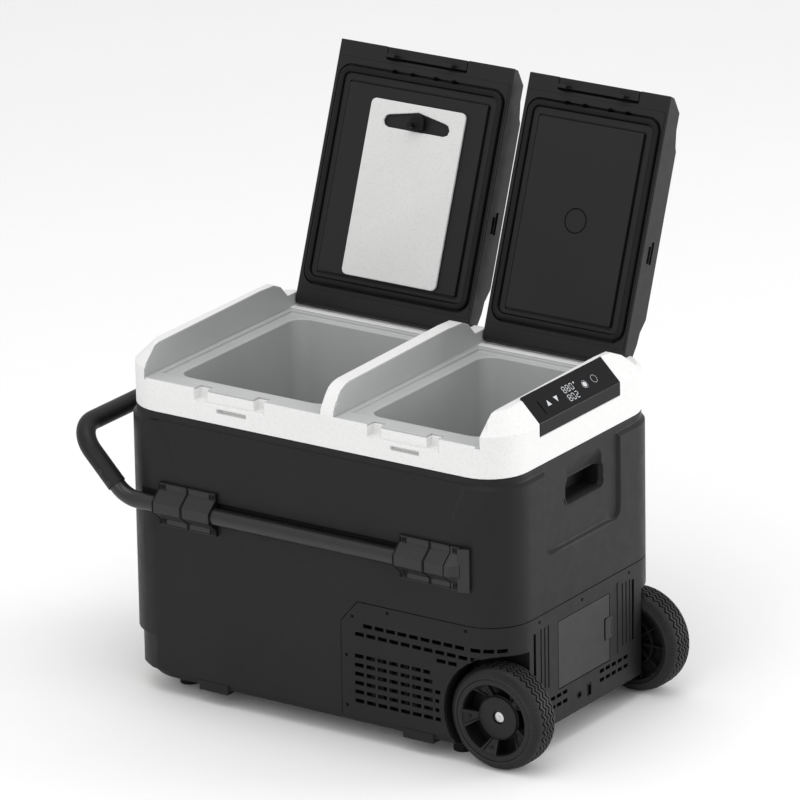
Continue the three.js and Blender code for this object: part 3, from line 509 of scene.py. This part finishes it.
def tyre(side, label):
    """Four zig-zag grooves round the tread, between side walls with radial ribs."""
    columns = WAVES * PER_WAVE
    loops = []
    for k in range(columns):
        angle = 2 * math.pi * k / columns
        zig = ZIG * (1 - 4 * abs((k % PER_WAVE) / PER_WAVE - 0.5))
        rib = 1.0 if k % 2 else -0.4
        wall = BEAD + [(r + 0.35 * rib, w + 0.7 * rib) for r, w in FLANK] + SHOULDER
        tread = [
            (crown(middle + zig + across) - deep, middle + zig + across)
            for middle in GROOVES for across, deep in GROOVE
        ]
        profile = wall + tread + [(r, -w) for r, w in wall[::-1]]
        loops.append([
            at(
                WHEEL_X + r * math.cos(angle), side * (TYRE_MIDDLE + w),
                WHEEL_Z + r * math.sin(angle),
            )
            for r, w in profile
        ])
    piece(f"tyre_{label}_tread", [loft(loops + [loops[0]])], TYRE, f"wheel_{label}", "tyre",
          [f"tyre_{label}"], sharp=24)


# Profiles of the hub as (radius, depth in from the wheel's outer face).
HUB_RIM = [
    (46.5, 9.5), (46.3, 2.2), (47.2, 0.9), (52.2, 0.5), (53.2, 0.9), (54.2, 1.6), (54.3, 48),
    (50, 48), (49.4, 12), (46.5, 9.5),
]
HUB_CORE = [
    (5.2, 45), (5.2, 22.2), (8.0, 22.0), (8.2, 12.8), (8.8, 12.2), (26.4, 11.9), (27.2, 12.3),
    (27.7, 13.6), (28.3, 14.3), (29.0, 13.9), (29.6, 14.4), (29.5, 20), (13, 24), (12.6, 45),
    (5.2, 45),
]
HUB_DISC = [(12.2, 33), (12.2, 30), (49.0, 30), (49.0, 33), (12.2, 33)]
STIFFENER = [(30.0, 43), (30.0, 32.8), (32.0, 32.8), (32.0, 43), (30.0, 43)]
DISC_RIBS, DISC_RIB = 10, ((12.4, -1.0, 32.8), (49.4, 1.0, 43.2))   # out, across, deep
SPOKES, FIRST_SPOKE = 5, 42.8                                       # degrees
WEB = ((29.5, 14.5), (46.5, 1.5))       # radius and depth of a spoke's face, core and rim
SPOKE_RADII = (29.4, 31.2, 36.0, 41.0, 45.0, 46.6)
SPOKE_CUTS = (-1.0, -0.86, -0.70, -0.62, 0.0, 0.62, 0.70, 0.86, 1.0)   # shares of half its width
SPOKE_HALF = (10.0, 15.0)               # half its angle at the core and at the rim, in degrees
SPOKE_THICK, SPOKE_SUNK, SPOKE_RIB = 6.0, 2.0, 0.7
SUNK_SHARE, RIB_SHARE, SUNK_RADII = 0.69, 0.9, (31.0, 46.0)
BOSS_RADIUS, BOSS_SUNK = 40.5, 2.2
SPOKE_BOSS = [(3.0, -1.0), (3.0, 1.1), (2.4, 1.5), (1.4, 1.5), (1.3, 0.6), (0, 0.6)]
BOLT = [(0, 0), (7.3, 0), (7.4, 5.5), (6.9, 6.3), (6.0, 6.55), (2.0, 6.6), (1.4, 6.1), (0, 5.9)]
BOLT_DEPTH = 21.6


def web_depth(r):
    """The dish of the hub: how deep a spoke's face lies."""
    (r0, d0), (r1, d1) = WEB
    return d0 + (r - r0) / (r1 - r0) * (d1 - d0)


def spoke_depth(r, share):
    """Depth of a spoke's face, sunk in the middle and raised in a rib along each side."""
    if abs(share) < SUNK_SHARE and SUNK_RADII[0] < r < SUNK_RADII[1]:
        return web_depth(r) + SPOKE_SUNK
    if SUNK_SHARE < abs(share) < RIB_SHARE:
        return web_depth(r) - SPOKE_RIB
    return web_depth(r)


def spoke(spot, middle):
    """One spoke about an angle in degrees: a grid of points on its face and one below."""
    n, m = len(SPOKE_CUTS), len(SPOKE_RADII)
    core, rim = SPOKE_RADII[0], SPOKE_RADII[-1]
    verts = []
    for below in (False, True):
        for r in SPOKE_RADII:
            half = SPOKE_HALF[0] + (SPOKE_HALF[1] - SPOKE_HALF[0]) * (r - core) / (rim - core)
            for share in SPOKE_CUTS:
                depth = web_depth(r) + SPOKE_THICK if below else spoke_depth(r, share)
                verts.append(spot(r, middle + share * half, depth))

    def top(a, b):
        return a * n + b

    def low(a, b):
        return m * n + a * n + b

    faces = []
    for a in range(m - 1):
        for b in range(n - 1):
            faces.append((top(a, b), top(a, b + 1), top(a + 1, b + 1), top(a + 1, b)))
            faces.append((low(a, b), low(a + 1, b), low(a + 1, b + 1), low(a, b + 1)))
        faces.append((top(a, 0), top(a + 1, 0), low(a + 1, 0), low(a, 0)))
        faces.append((top(a, n - 1), low(a, n - 1), low(a + 1, n - 1), top(a + 1, n - 1)))
    for b in range(n - 1):
        faces.append((top(0, b), low(0, b), low(0, b + 1), top(0, b + 1)))
        faces.append((top(m - 1, b), top(m - 1, b + 1), low(m - 1, b + 1), low(m - 1, b)))
    return verts, faces


def hub(side, label):
    """Dished hub with five spokes, a ribbed disc behind its windows, and the axle bolt."""
    centre, axis = at(WHEEL_X, 0, WHEEL_Z), (0, side, 0)

    def spot(r, degrees, depth):
        a = math.radians(degrees)
        y = side * (WHEEL_FACE - depth)
        return at(WHEEL_X + r * math.cos(a), y, WHEEL_Z + r * math.sin(a))

    parts = [
        turned([(r, WHEEL_FACE - depth) for r, depth in profile], centre, axis, 96)
        for profile in (HUB_RIM, HUB_CORE, HUB_DISC, STIFFENER)
    ]
    for i in range(DISC_RIBS):
        a = 2 * math.pi * i / DISC_RIBS
        ray = X_AXIS * math.cos(a) + Z_AXIS * math.sin(a)
        across = Z_AXIS * math.cos(a) - X_AXIS * math.sin(a)
        parts.append(box_shape(
            lambda r, w, depth: spot(0, 0, depth) + (ray * r + across * w) / 1000, *DISC_RIB,
        ))
    for i in range(SPOKES):
        middle = FIRST_SPOKE + 360 * i / SPOKES
        parts.append(spoke(spot, middle))
        boss = spot(BOSS_RADIUS, middle, web_depth(BOSS_RADIUS) + BOSS_SUNK)
        parts.append(turned(SPOKE_BOSS, boss, axis, 20))
    piece(f"hub_{label}_dish", parts, HUB, f"wheel_{label}", "black_body", [f"hub_{label}"],
          sharp=30)
    head = at(WHEEL_X, side * (WHEEL_FACE - BOLT_DEPTH), WHEEL_Z)
    piece(f"wheel_bolt_{label}_head", [turned(BOLT, head, axis, 40)], STEEL, f"wheel_{label}",
          "steel", [f"wheel_bolt_{label}"], sharp=30)


for side, label in ((-1, "front"), (1, "back")):
    tyre(side, label)
    hub(side, label)


# ------------------------------------------------------------------ tow handle
ARM = Vector((GRIP_X - BEND_X, 0, GRIP_Z - TUBE_Z)).normalized()
TUBE_IN_GRIP = 23.0                                 # how far the tube runs on inside the grip
GRIP_SCREWS = ((-306.7, -86.8), (-294.3, -99.8))    # x, z
SCREW_R, SMALL_SCREW_R = 2.9, 2.3


def screw_head(centre, axis, radius, name, body, look=SCREW):
    """A sunk cross-head screw; its cross is a thin dark slab, painted shade of the cross recess."""
    axis = Vector(axis).normalized()
    dome = [(0, -1.2), (radius, -1.2), (radius, 0.5), (radius * 0.86, 0.9), (0, 1.0)]
    a = axis.orthogonal().normalized()
    b = axis.cross(a)
    cross = [
        box_shape(
            lambda p, q, h: centre + (u * p + v * q + axis * h) / 1000,
            (-0.6 * radius, -0.13 * radius, 0.85), (0.6 * radius, 0.13 * radius, 1.08),
        )
        for u, v in ((a, b), (b, a))
    ]
    piece(name, [turned(dome, centre, axis, 20)], look, body, sharp=30)
    # The cross is painted shade: a dark slab where the recess would be.
    piece(name + "_cross_shade", cross, RUBBER, body)


grip_routes = []
for side, label in ((-1, "front"), (1, "back")):
    bend = at(BEND_X, side * TUBE_Y, TUBE_Z)
    arc = rounded_turn(bend, -X_AXIS, ARM, BEND_RADIUS / 1000, 14)
    tube_end = bend + ARM * (GRIP_START + TUBE_IN_GRIP) / 1000
    path = [at(TUBE_END, side * TUBE_Y, TUBE_Z), *arc, tube_end]
    piece(f"handle_tube_{label}_bar", [tube(path, TUBE_R)], COAT, "handle", "black_metal",
          [f"handle_tube_{label}"], bevel=0.6)
    corner = at(GRIP_X, side * TUBE_Y, GRIP_Z)
    turn = rounded_turn(corner, ARM, Y_AXIS * -side, GRIP_CORNER / 1000, 14)
    grip_routes.append([bend + ARM * GRIP_START / 1000, *turn])

grip_path = grip_routes[0] + grip_routes[1][::-1]
piece("handle_grip_bar", [tube(grip_path, GRIP_R, 32)], GRIP, "handle", "grip", ["handle_grip"],
      bevel=0.8)
for side, label in ((-1, "front"), (1, "back")):
    for k, (x, z) in enumerate(GRIP_SCREWS):
        place = at(x, side * (TUBE_Y + GRIP_R - 0.7), z)
        screw_head(place, (0, side, 0), SCREW_R, f"grip_screw_{label}_{k}", "handle")


# ------------------------------------------------------------------ lids
# Steps of a lid's underside from its rim in: distance from the sides, from the front and from
# the back edge, corner radius, and height over the underside.
UNDERSIDE = [
    (3.6, 21.4, 16.6, 1.0, 2.6), (3.6, 21.4, 16.6, 1.0, -0.05), (5.2, 29.8, 21.8, 19.0, -0.05),
    (5.6, 30.2, 22.2, 18.6, 2.6), (17.2, 41.7, 33.7, 8.0, 2.6), (17.4, 41.9, 33.9, 7.8, 0.0),
    (25.0, 50.5, 38.5, 3.4, 0.0), (25.2, 50.7, 38.7, 3.2, 2.5), (27.2, 52.7, 40.7, 2.2, 2.5),
    (27.5, 53.0, 41.0, 2.0, -3.2), (28.6, 54.1, 42.1, 1.6, -4.0),
]
# Section of the gasket: distance in from its outer line, height over the underside.
GASKET = [
    (1.0, 2.2), (0.5, -0.6), (0.7, -2.2), (1.5, -3.5), (2.8, -4.1), (4.5, -4.2), (6.4, -4.1),
    (7.8, -3.4), (8.6, -2.2), (8.8, -0.6), (8.4, 2.2),
]
GASKET_SIDE, GASKET_FRONT, GASKET_BACK, GASKET_R = 7.5, 32.0, 319.0, 17.0
PEG = [(2.7, -2.5), (2.7, 3.2), (2.1, 3.9), (0.9, 3.9), (0.8, 3.2), (0, 3.2)]
PEG_LINE = 31.2                                     # from the lid's front edge
SIDE_SLOTS = ((186, 19.4, 29), (192, 13.0, 22))     # along the side, height, length
SLOT_WIDTH, SLOT_PROUD = 3.4, 0.8
PLUG_X, PLUG_S = 150, 177                           # round plug under the right lid
PLUG_RING = ((16.3, -3.9), (16.3, -4.1), (15.0, -4.1), (15.0, -3.9))


def lid_ring(x0, x1, s0, s1, r, t, steps=8):
    """A rectangle with round corners on an open lid."""
    return [on_lid(x, s, t) for x, s in rounded(x0, x1, s0, s1, r, steps)]


def lid_underside(name):
    """Flat frame, groove for the gasket and a raised inner panel with a narrow gap round it."""
    x0, x1 = LIDS[name]["x"]
    loops = [
        lid_ring(x0 + d, x1 - d, front, LID_LENGTH - back, r, t)
        for d, front, back, r, t in UNDERSIDE
    ]
    piece(f"lid_panel_{name}_face", [loft(loops, True, True)], LID, f"lid_{name}", "black_lid",
          [f"lid_panel_{name}"], sharp=30)


def gasket(name):
    """Broad soft seal with rounded shoulders and round corners."""
    x0, x1 = LIDS[name]["x"]
    loops = [
        lid_ring(
            x0 + GASKET_SIDE + d, x1 - GASKET_SIDE - d, GASKET_FRONT + d, GASKET_BACK - d,
            GASKET_R - 0.8 * d, t, 10,
        )
        for d, t in GASKET
    ]
    piece(f"lid_gasket_{name}_seal", [loft(loops + [loops[0]])], RUBBER, f"lid_{name}", "rubber",
          [f"lid_gasket_{name}"], sharp=50)


for name, lid in LIDS.items():
    lid_underside(name)
    gasket(name)
    body = f"lid_{name}"
    down = on_lid(0, 0, -1) - on_lid(0, 0, 0)
    clips = [turned(PEG, on_lid(x, PEG_LINE, 0), down, 20) for x in lid["pegs"]]
    piece(f"gasket_clips_{name}", clips, LINE, body, sharp=30)
    edge = lid["x"][1]
    slots = [
        box_shape(on_lid, (edge - 0.5, s, t), (edge + SLOT_PROUD, s + length, t + SLOT_WIDTH))
        for s, t, length in SIDE_SLOTS
    ]
    piece(f"side_slots_{name}", slots, LINE, body, bevel=0.3)
circle = [2 * math.pi * k / 64 for k in range(64)]
ring = [
    [on_lid(PLUG_X + r * math.cos(a), PLUG_S + r * math.sin(a), t) for a in circle]
    for r, t in PLUG_RING
]
piece("panel_plug_line", [loft(ring + [ring[0]])], LINE, "lid_right")


# ------------------------------------------------------------------ handle brackets
BRACKETS = ((-227, -182.7), (-182.3, -138), (141.5, 186.7), (187.1, 246))   # along the wall
BRACKET_FOOT, HALF_HEIGHT, BORE = 183.8, 28.5, 11.5
FLANGE, SLEEVE, RIM_PROUD, RIM_WIDTH = 3.7, 19.7, 1.0, 1.3
BRACKET_SCREWS = [(x, z) for x in (-221, -144, 147.5, 226) for z in (-95.8, -142.8)]


def channel(x, flange, sleeve, side, bored=True):
    """Section of a bracket across the tube; flange and sleeve are heights over the wall."""
    half = [
        (HALF_HEIGHT, 0), (HALF_HEIGHT, 4.7), (27.2, 4.7), (27.0, flange), (20.3, flange),
        (6.6, sleeve),
    ]
    outline = [(-z, out) for z, out in half] + half[::-1]
    if bored:
        deep = TUBE_Y - BRACKET_FOOT
        start = math.asin(-deep / BORE)
        for k in range(17):
            a = start + (math.pi - 2 * start) * k / 16
            outline.append((BORE * math.cos(a), deep + BORE * math.sin(a)))
    return [at(x, side * (BRACKET_FOOT + out), TUBE_Z + z) for z, out in outline]


def bracket(side, name, x0, x1, closed):
    """Saddle clamp with a raised band at each end, near black as painted shade of the gap and step
    there; a closed one ends in a sloped cap.
    """
    end = TUBE_END + 4 if closed else x1
    middle = [channel(x, FLANGE, SLEEVE, side) for x in (x0 + RIM_WIDTH, end - RIM_WIDTH)]
    parts = [loft(middle, True, True)]
    bands = []
    for start in (x0,) if closed else (x0, end - RIM_WIDTH):
        band = [
            channel(x, FLANGE + RIM_PROUD, SLEEVE + RIM_PROUD, side)
            for x in (start, start + RIM_WIDTH)
        ]
        bands.append(loft(band, True, True))
    # The bands take the dark rubber look as painted shade at the ends of each clamp.
    piece(name + "_shade_bands", bands, RUBBER, "cabinet", bevel=0.25)
    if closed:
        cap = ((end, SLEEVE), (x1 - 21, SLEEVE), (x1 - 11, 10.5))
        cap = [channel(x, FLANGE, sleeve, side, False) for x, sleeve in cap]
        parts.append(loft(cap, True, True))
        wedge = [(x1 - 14, 0), (x1 - 14, 10), (x1, 4.7), (x1, 0)]
        faces = [
            [at(x, side * (BRACKET_FOOT + out), z) for x, out in wedge]
            for z in (TUBE_Z - HALF_HEIGHT, TUBE_Z + HALF_HEIGHT)
        ]
        parts.append(loft(faces, True, True))
    piece(name + "_clamp", parts, BRACKET, "cabinet", "black_body", [name], bevel=0.35)


def screw_well(side, x, z):
    """A square collar round a bracket screw; its dark look is painted shade of the screw's square
    recess.
    """
    ring = [
        [at(x + u, side * y, z + v) for u, v in rounded(-h, h, -h, h, 1.0, 3)]
        for h, y in ((4.5, 187.0), (4.4, 188.4), (3.7, 188.4), (3.5, 187.0))
    ]
    return loft(ring + [ring[0]])


for side, label in ((-1, "front"), (1, "back")):
    for k, (x0, x1) in enumerate(BRACKETS):
        bracket(side, f"bracket_{label}_{k + 1}", x0, x1, k == len(BRACKETS) - 1)
    for k, (x, z) in enumerate(BRACKET_SCREWS):
        place, name = at(x, side * 187.6, z), f"bracket_screw_{label}_{k}"
        screw_head(place, (0, side, 0), SCREW_R, name, "cabinet", RUBBER)
    wells = [screw_well(side, x, z) for x, z in BRACKET_SCREWS]
    # Dark collars: painted shade in the square recesses round the bracket screws.
    piece(f"bracket_screw_shade_wells_{label}", wells, RUBBER, "cabinet", sharp=25)


# ------------------------------------------------------------------ screws and lips on the cabinet
FRONT_SCREWS = ((65, -216), (118.5, -201.6), (236, -202), (55.6, -269.5), (55.6, -337))   # x, z
END_SCREWS = ((-107, -203), (-9, -204), (101, -203))                                      # y, z
COVER_FRONT, COVER_END = -182.9, 295.9
for k, (x, z) in enumerate(FRONT_SCREWS):
    place, name = at(x, COVER_FRONT, z), f"cover_screw_front_{k}"
    screw_head(place, (0, -1, 0), SMALL_SCREW_R, name, "cabinet", LINE)
for k, (y, z) in enumerate(END_SCREWS):
    place, name = at(COVER_END, y, z), f"cover_screw_end_{k}"
    screw_head(place, (1, 0, 0), SMALL_SCREW_R, name, "cabinet", LINE)

# The battery door's finger tab and the gap round the door, in steps of (x, distance in or out).
tab = [
    [at(x, y, z) for y, z in rounded(43.5 + d, 60.5 - d, -276 + d, -247.5 - d, 3.2, 6)]
    for x, d in ((296.2, 0), (297.1, 0), (297.6, 0.5), (297.6, 1.8), (296.9, 2.6))
]
piece("battery_door_tab", [loft(tab, True, True)], DOOR, "battery_hatch", sharp=30)
gap = [
    [
        at(x, y, z)
        for y, z in rounded(-64.85 - d, 54.35 + d, -306.35 - d, -216.15 + d, 0.6 + d, 4)
    ]
    for x, d in ((296.0, 0), (296.56, 0), (296.56, 0.75), (296.0, 0.75))
]
piece("door_gap_line", [loft(gap + [gap[0]])], LINE, "cabinet")

POCKET_Y, POCKET_Z, POCKET_R = (-40.0, 50.0), (-71.0, -36.0), 9.8
LIP_SINKS, LIP_SUNK, LIP_BLEND = -58, 10, 14    # the lip sinks from this height up, this deep
LIP_OUT, LIP_ACROSS = 0.9, 1.5                  # half sizes of its section


def pocket_rim(side, name):
    """Soft lip under and beside the mouth of a carry pocket; it sinks away below the scoop."""
    middle_y, middle_z = sum(POCKET_Y) / 2, -54
    loops = []
    for y, z in rounded(*POCKET_Y, *POCKET_Z, POCKET_R, 8):
        inward = max(0.0, min(1.0, (z - LIP_SINKS) / LIP_BLEND)) * LIP_SUNK
        out = Vector((0, y - middle_y, z - middle_z)).normalized()
        centre = at(side * (292.0 - inward), y, z)
        across, along = X_AXIS * side * LIP_OUT, out * LIP_ACROSS
        loops.append([
            centre + (across * math.cos(a) + along * math.sin(a)) / 1000
            for a in (2 * math.pi * k / 12 for k in range(12))
        ])
    piece(name, [loft(loops + [loops[0]])], BODY, "cabinet", sharp=60)


pocket_rim(-1, "pocket_rim_left")
pocket_rim(1, "pocket_rim_right")
WALL_BOSS = [(4.2, -0.5), (4.2, 0.9), (3.7, 1.2), (2.4, 1.2), (2.2, 0.5), (0, 0.4)]
bosses = [turned(WALL_BOSS, at(x, -170, 54.5), X_AXIS, 28) for x in (-252.8, 39.3)]
piece("wall_bosses", bosses, GREY, "cabinet", sharp=30)


# ------------------------------------------------------------------ control panel print and slot shadow
PANEL_TOP, PANEL_EDGE = Vector((262.6, 84.2)), Vector((292.3, 55.1))   # x, z
DOWN = (PANEL_EDGE - PANEL_TOP).normalized()
INK_TOP, INK_FOOT = 0.12, -0.2                   # heights of the ink over the panel
FIGURE_WIDTH, FIGURE_HEIGHT, STROKE = 6.0, 9.5, 0.9
FIGURES = (("abcdefg", "abcdefg", "abcdef"), ("abcdefg", "abcdef", "abged"))   # lit segments
FIRST_FIGURE, FIGURE_STEP, FIRST_ROW, ROW_STEP = -16.4, 8.4, 12.5, 12.5


def on_panel(u, v, lift):
    """u along +Y, v down the slope from the panel's upper edge, in mm."""
    return at(
        PANEL_TOP.x + DOWN.x * v - DOWN.y * lift, u, PANEL_TOP.y + DOWN.y * v + DOWN.x * lift,
    )


def printed(outline):
    """A thin raised patch of ink; for the slot, a near-black patch of painted shadow."""
    loops = [[on_panel(u, v, lift) for u, v in outline] for lift in (INK_FOOT, INK_TOP)]
    return loft(loops, True, True)


def bar(u0, u1, v0, v1):
    """Outline of a stroke on the panel."""
    return [(u0, v0), (u1, v0), (u1, v1), (u0, v1)]


def disc(u, v, r, count=20):
    """Outline of a dot on the panel."""
    turns = (2 * math.pi * k / count for k in range(count))
    return [(u + r * math.cos(a), v + r * math.sin(a)) for a in turns]


def digit(u, v, lit):
    """Seven-segment figure; lit names its segments, a to g."""
    t, gap = STROKE, 0.15
    left, right = (u, u + t), (u + FIGURE_WIDTH - t, u + FIGURE_WIDTH)
    across = (u + t, u + FIGURE_WIDTH - t)
    centre, foot = v + FIGURE_HEIGHT / 2, v + FIGURE_HEIGHT
    top, middle, bottom = (v, v + t), (centre - t / 2, centre + t / 2), (foot - t, foot)
    upper, lower = (top[1] + gap, middle[0] - gap), (middle[1] + gap, bottom[0] - gap)
    parts = {
        "a": bar(*across, *top), "g": bar(*across, *middle), "d": bar(*across, *bottom),
        "f": bar(*left, *upper), "b": bar(*right, *upper),
        "e": bar(*left, *lower), "c": bar(*right, *lower),
    }
    return [parts[s] for s in lit]


def hoop(u, v, r, width, count=28):
    """A thin ring of ink."""
    turns = [2 * math.pi * k / count for k in range(count)]
    inner = r - width
    loops = [
        [on_panel(u + radius * math.cos(a), v + radius * math.sin(a), lift) for a in turns]
        for radius, lift in ((r, INK_FOOT), (r, INK_TOP), (inner, INK_TOP), (inner, INK_FOOT))
    ]
    return loft(loops + [loops[0]])


icons = [
    [(-59.2, 26.4), (-50.8, 26.4), (-55.0, 18.2)],
    [(-40.8, 18.6), (-32.4, 18.6), (-36.6, 26.8)],
    disc(28, 22.8, 3.6),
]
for row, figures in enumerate(FIGURES):
    for k, lit in enumerate(figures):
        icons += digit(FIRST_FIGURE + FIGURE_STEP * k, FIRST_ROW + ROW_STEP * row, lit)
icons.append(disc(11.1, 14, 1.3))
rings = [hoop(28, 22.8, 5.4, 0.35), hoop(50.6, 21.7, 5.6, 0.45)]
# The slot is painted shadow: a near-black patch on the panel where a narrow recess is.
piece("panel_slot", [printed(bar(-72.6, -70.8, 14, 34))], LINE, "cabinet")
piece("panel_print", [printed(icon) for icon in icons] + rings, PRINT, "cabinet")


# ------------------------------------------------------------------ CAD shapes that stay
RIM_TOP, END_WALL = 42.6, 257


def liner_side(face):
    """The upright faces beside the lids are moulded in the liner's grey."""
    x, _, z = (face.calc_center_median() - SEAM) * 1000
    return abs(face.normal.x) > 0.97 and z > RIM_TOP and abs(x) < END_WALL


skin("top_frame", bevel=1.3, inner=liner_side, inner_look=GREY)
AROUND_POCKETS = [(at(0, y, 0), (0, 1, 0)) for y in (-78, -45, 55, 72)]
AROUND_POCKETS += [(at(0, 0, z), (0, 0, 1)) for z in (-97, -76, -12)]
skin("outer_shell", bevel=1.6, sharp=16, corner=math.radians(18), planes=AROUND_POCKETS)

# The left end wall slopes in at its foot. A plate closes the wall there, and the foam stops
# behind it. Points of the slope are (x, z).
SLOPE_TOP, SLOPE_FOOT = Vector((-290.5, -333.0)), Vector((-275.86, -350.0))
SLOPE_IN = Vector((0.758, 0.653))
PLATE_OUT, PLATE_IN, FOAM_EDGE = 0.3, 2.5, 2.8      # depths behind the slope
PLATE_START, PLATE_STEP = 0.06, 0.11                # shares of the slope
CORNER_X, CORNER_Y, CORNER_R = -232.5, 122.5, 56.8  # round corners that the plate's ends follow


def slope_point(along, depth):
    """A point behind the slope, along from its top at 0 to its foot at 1."""
    return SLOPE_TOP.lerp(SLOPE_FOOT, along) + SLOPE_IN * depth


def slope_plate():
    """The plate, whose ends follow the cabinet's round corners."""
    loops = []
    for step in range(9):
        along = PLATE_START + PLATE_STEP * step
        outer, inside = (slope_point(along, depth) for depth in (PLATE_OUT, PLATE_IN))
        reach = CORNER_Y + math.sqrt(max(0.0, CORNER_R**2 - (outer.x - CORNER_X) ** 2))
        section = ((outer, -reach), (outer, reach), (inside, reach), (inside, -reach))
        loops.append([at(p.x, y, p.y) for p, y in section])
    return loft(loops, True, True)


piece("shell_foot_plate", [slope_plate()], BODY, "cabinet", "black_body")
behind = slope_point(0, FOAM_EDGE)
foam_cut = (at(behind.x, 0, behind.y), (-SLOPE_IN.x, 0, -SLOPE_IN.y))
skin("insulation_foam", bevel=0.5, trim=foam_cut)

BEVELS = {
    "base_pan": 1.0, "liner_left": 1.6, "liner_right": 1.6, "control_panel": 1.4,
    "cutting_board": 1.2, "lid_shell_left": 1.4, "lid_shell_right": 1.4,
}
LOOKS = {"battery_door": DOOR, "board_knob": RUBBER}
done = {n for o in bpy.data.objects for n in o.get("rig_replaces", [])}
for node in sorted(frame["nodes"]):
    if node not in done:
        skin(node, bevel=BEVELS.get(node, 0.5), look=LOOKS.get(node))


# ------------------------------------------------------------------ studio
CAMERA_TURN, CAMERA_RISE, CAMERA_ROLL = 34.317918, 19.2440935, -0.964792   # degrees
CAMERA_RIGHT, CAMERA_UP, CAMERA_BACK = 15.087, 4.6197, 9478.375   # from the seam's centre, in mm
SENSOR, FOCAL_LENGTH = 36, 335.984                                # mm


def camera():
    """The photograph's point of view, a long way off with a long lens."""
    az, el, roll = (math.radians(a) for a in (CAMERA_TURN, CAMERA_RISE, CAMERA_ROLL))
    ahead = Vector((-math.sin(az) * math.cos(el), math.cos(az) * math.cos(el), -math.sin(el)))
    level = Vector((math.cos(az), math.sin(az), 0))
    rise = level.cross(ahead)
    right = level * math.cos(roll) + rise * math.sin(roll)
    up = rise * math.cos(roll) - level * math.sin(roll)
    place = SEAM + (right * CAMERA_RIGHT + up * CAMERA_UP - ahead * CAMERA_BACK) / 1000
    data = bpy.data.cameras.new("camera")
    data.sensor_width = SENSOR
    data.lens = FOCAL_LENGTH
    data.clip_end = 100
    cam = bpy.data.objects.new("camera", data)
    turn = Matrix((right, up, -ahead)).transposed().to_4x4()
    cam.matrix_world = Matrix.Translation(place) @ turn
    bpy.context.scene.collection.objects.link(cam)
    bpy.context.scene.camera = cam


def area_light(name, place, size, power, target=(0, 0, 0.3)):
    """A round soft light that faces a point of the object."""
    data = bpy.data.lights.new(name, "AREA")
    data.shape = "DISK"
    data.size = size
    data.energy = power
    lamp = bpy.data.objects.new(name, data)
    lamp.location = place
    lamp.rotation_euler = (Vector(target) - Vector(place)).to_track_quat("-Z", "Y").to_euler()
    bpy.context.scene.collection.objects.link(lamp)


camera()
area_light("right_back", (3.1, 2.4, 1.0), 2.0, 50)
area_light("top_soft", (0.2, -0.6, 3.4), 2.6, 30)
area_light("front_soft", (0.6, -4.2, 2.2), 2.8, 24)
world = bpy.data.worlds.new("studio")
world.use_nodes = True
world.node_tree.nodes["Background"].inputs["Color"].default_value = (1, 1, 1, 1)
world.node_tree.nodes["Background"].inputs["Strength"].default_value = 0.8
bpy.context.scene.world = world
bpy.context.scene.view_settings.view_transform = "Standard"

HALF_FLOOR = 20     # metres
corners = [(HALF_FLOOR * x, HALF_FLOOR * y, 0) for x, y in ((-1, -1), (1, -1), (1, 1), (-1, 1))]
floor_mesh = bpy.data.meshes.new("floor")
floor_mesh.from_pydata(corners, [], [(0, 1, 2, 3)])
floor = bpy.data.objects.new("floor", floor_mesh)
floor_mesh.materials.append(FLOOR)
bpy.context.scene.collection.objects.link(floor)
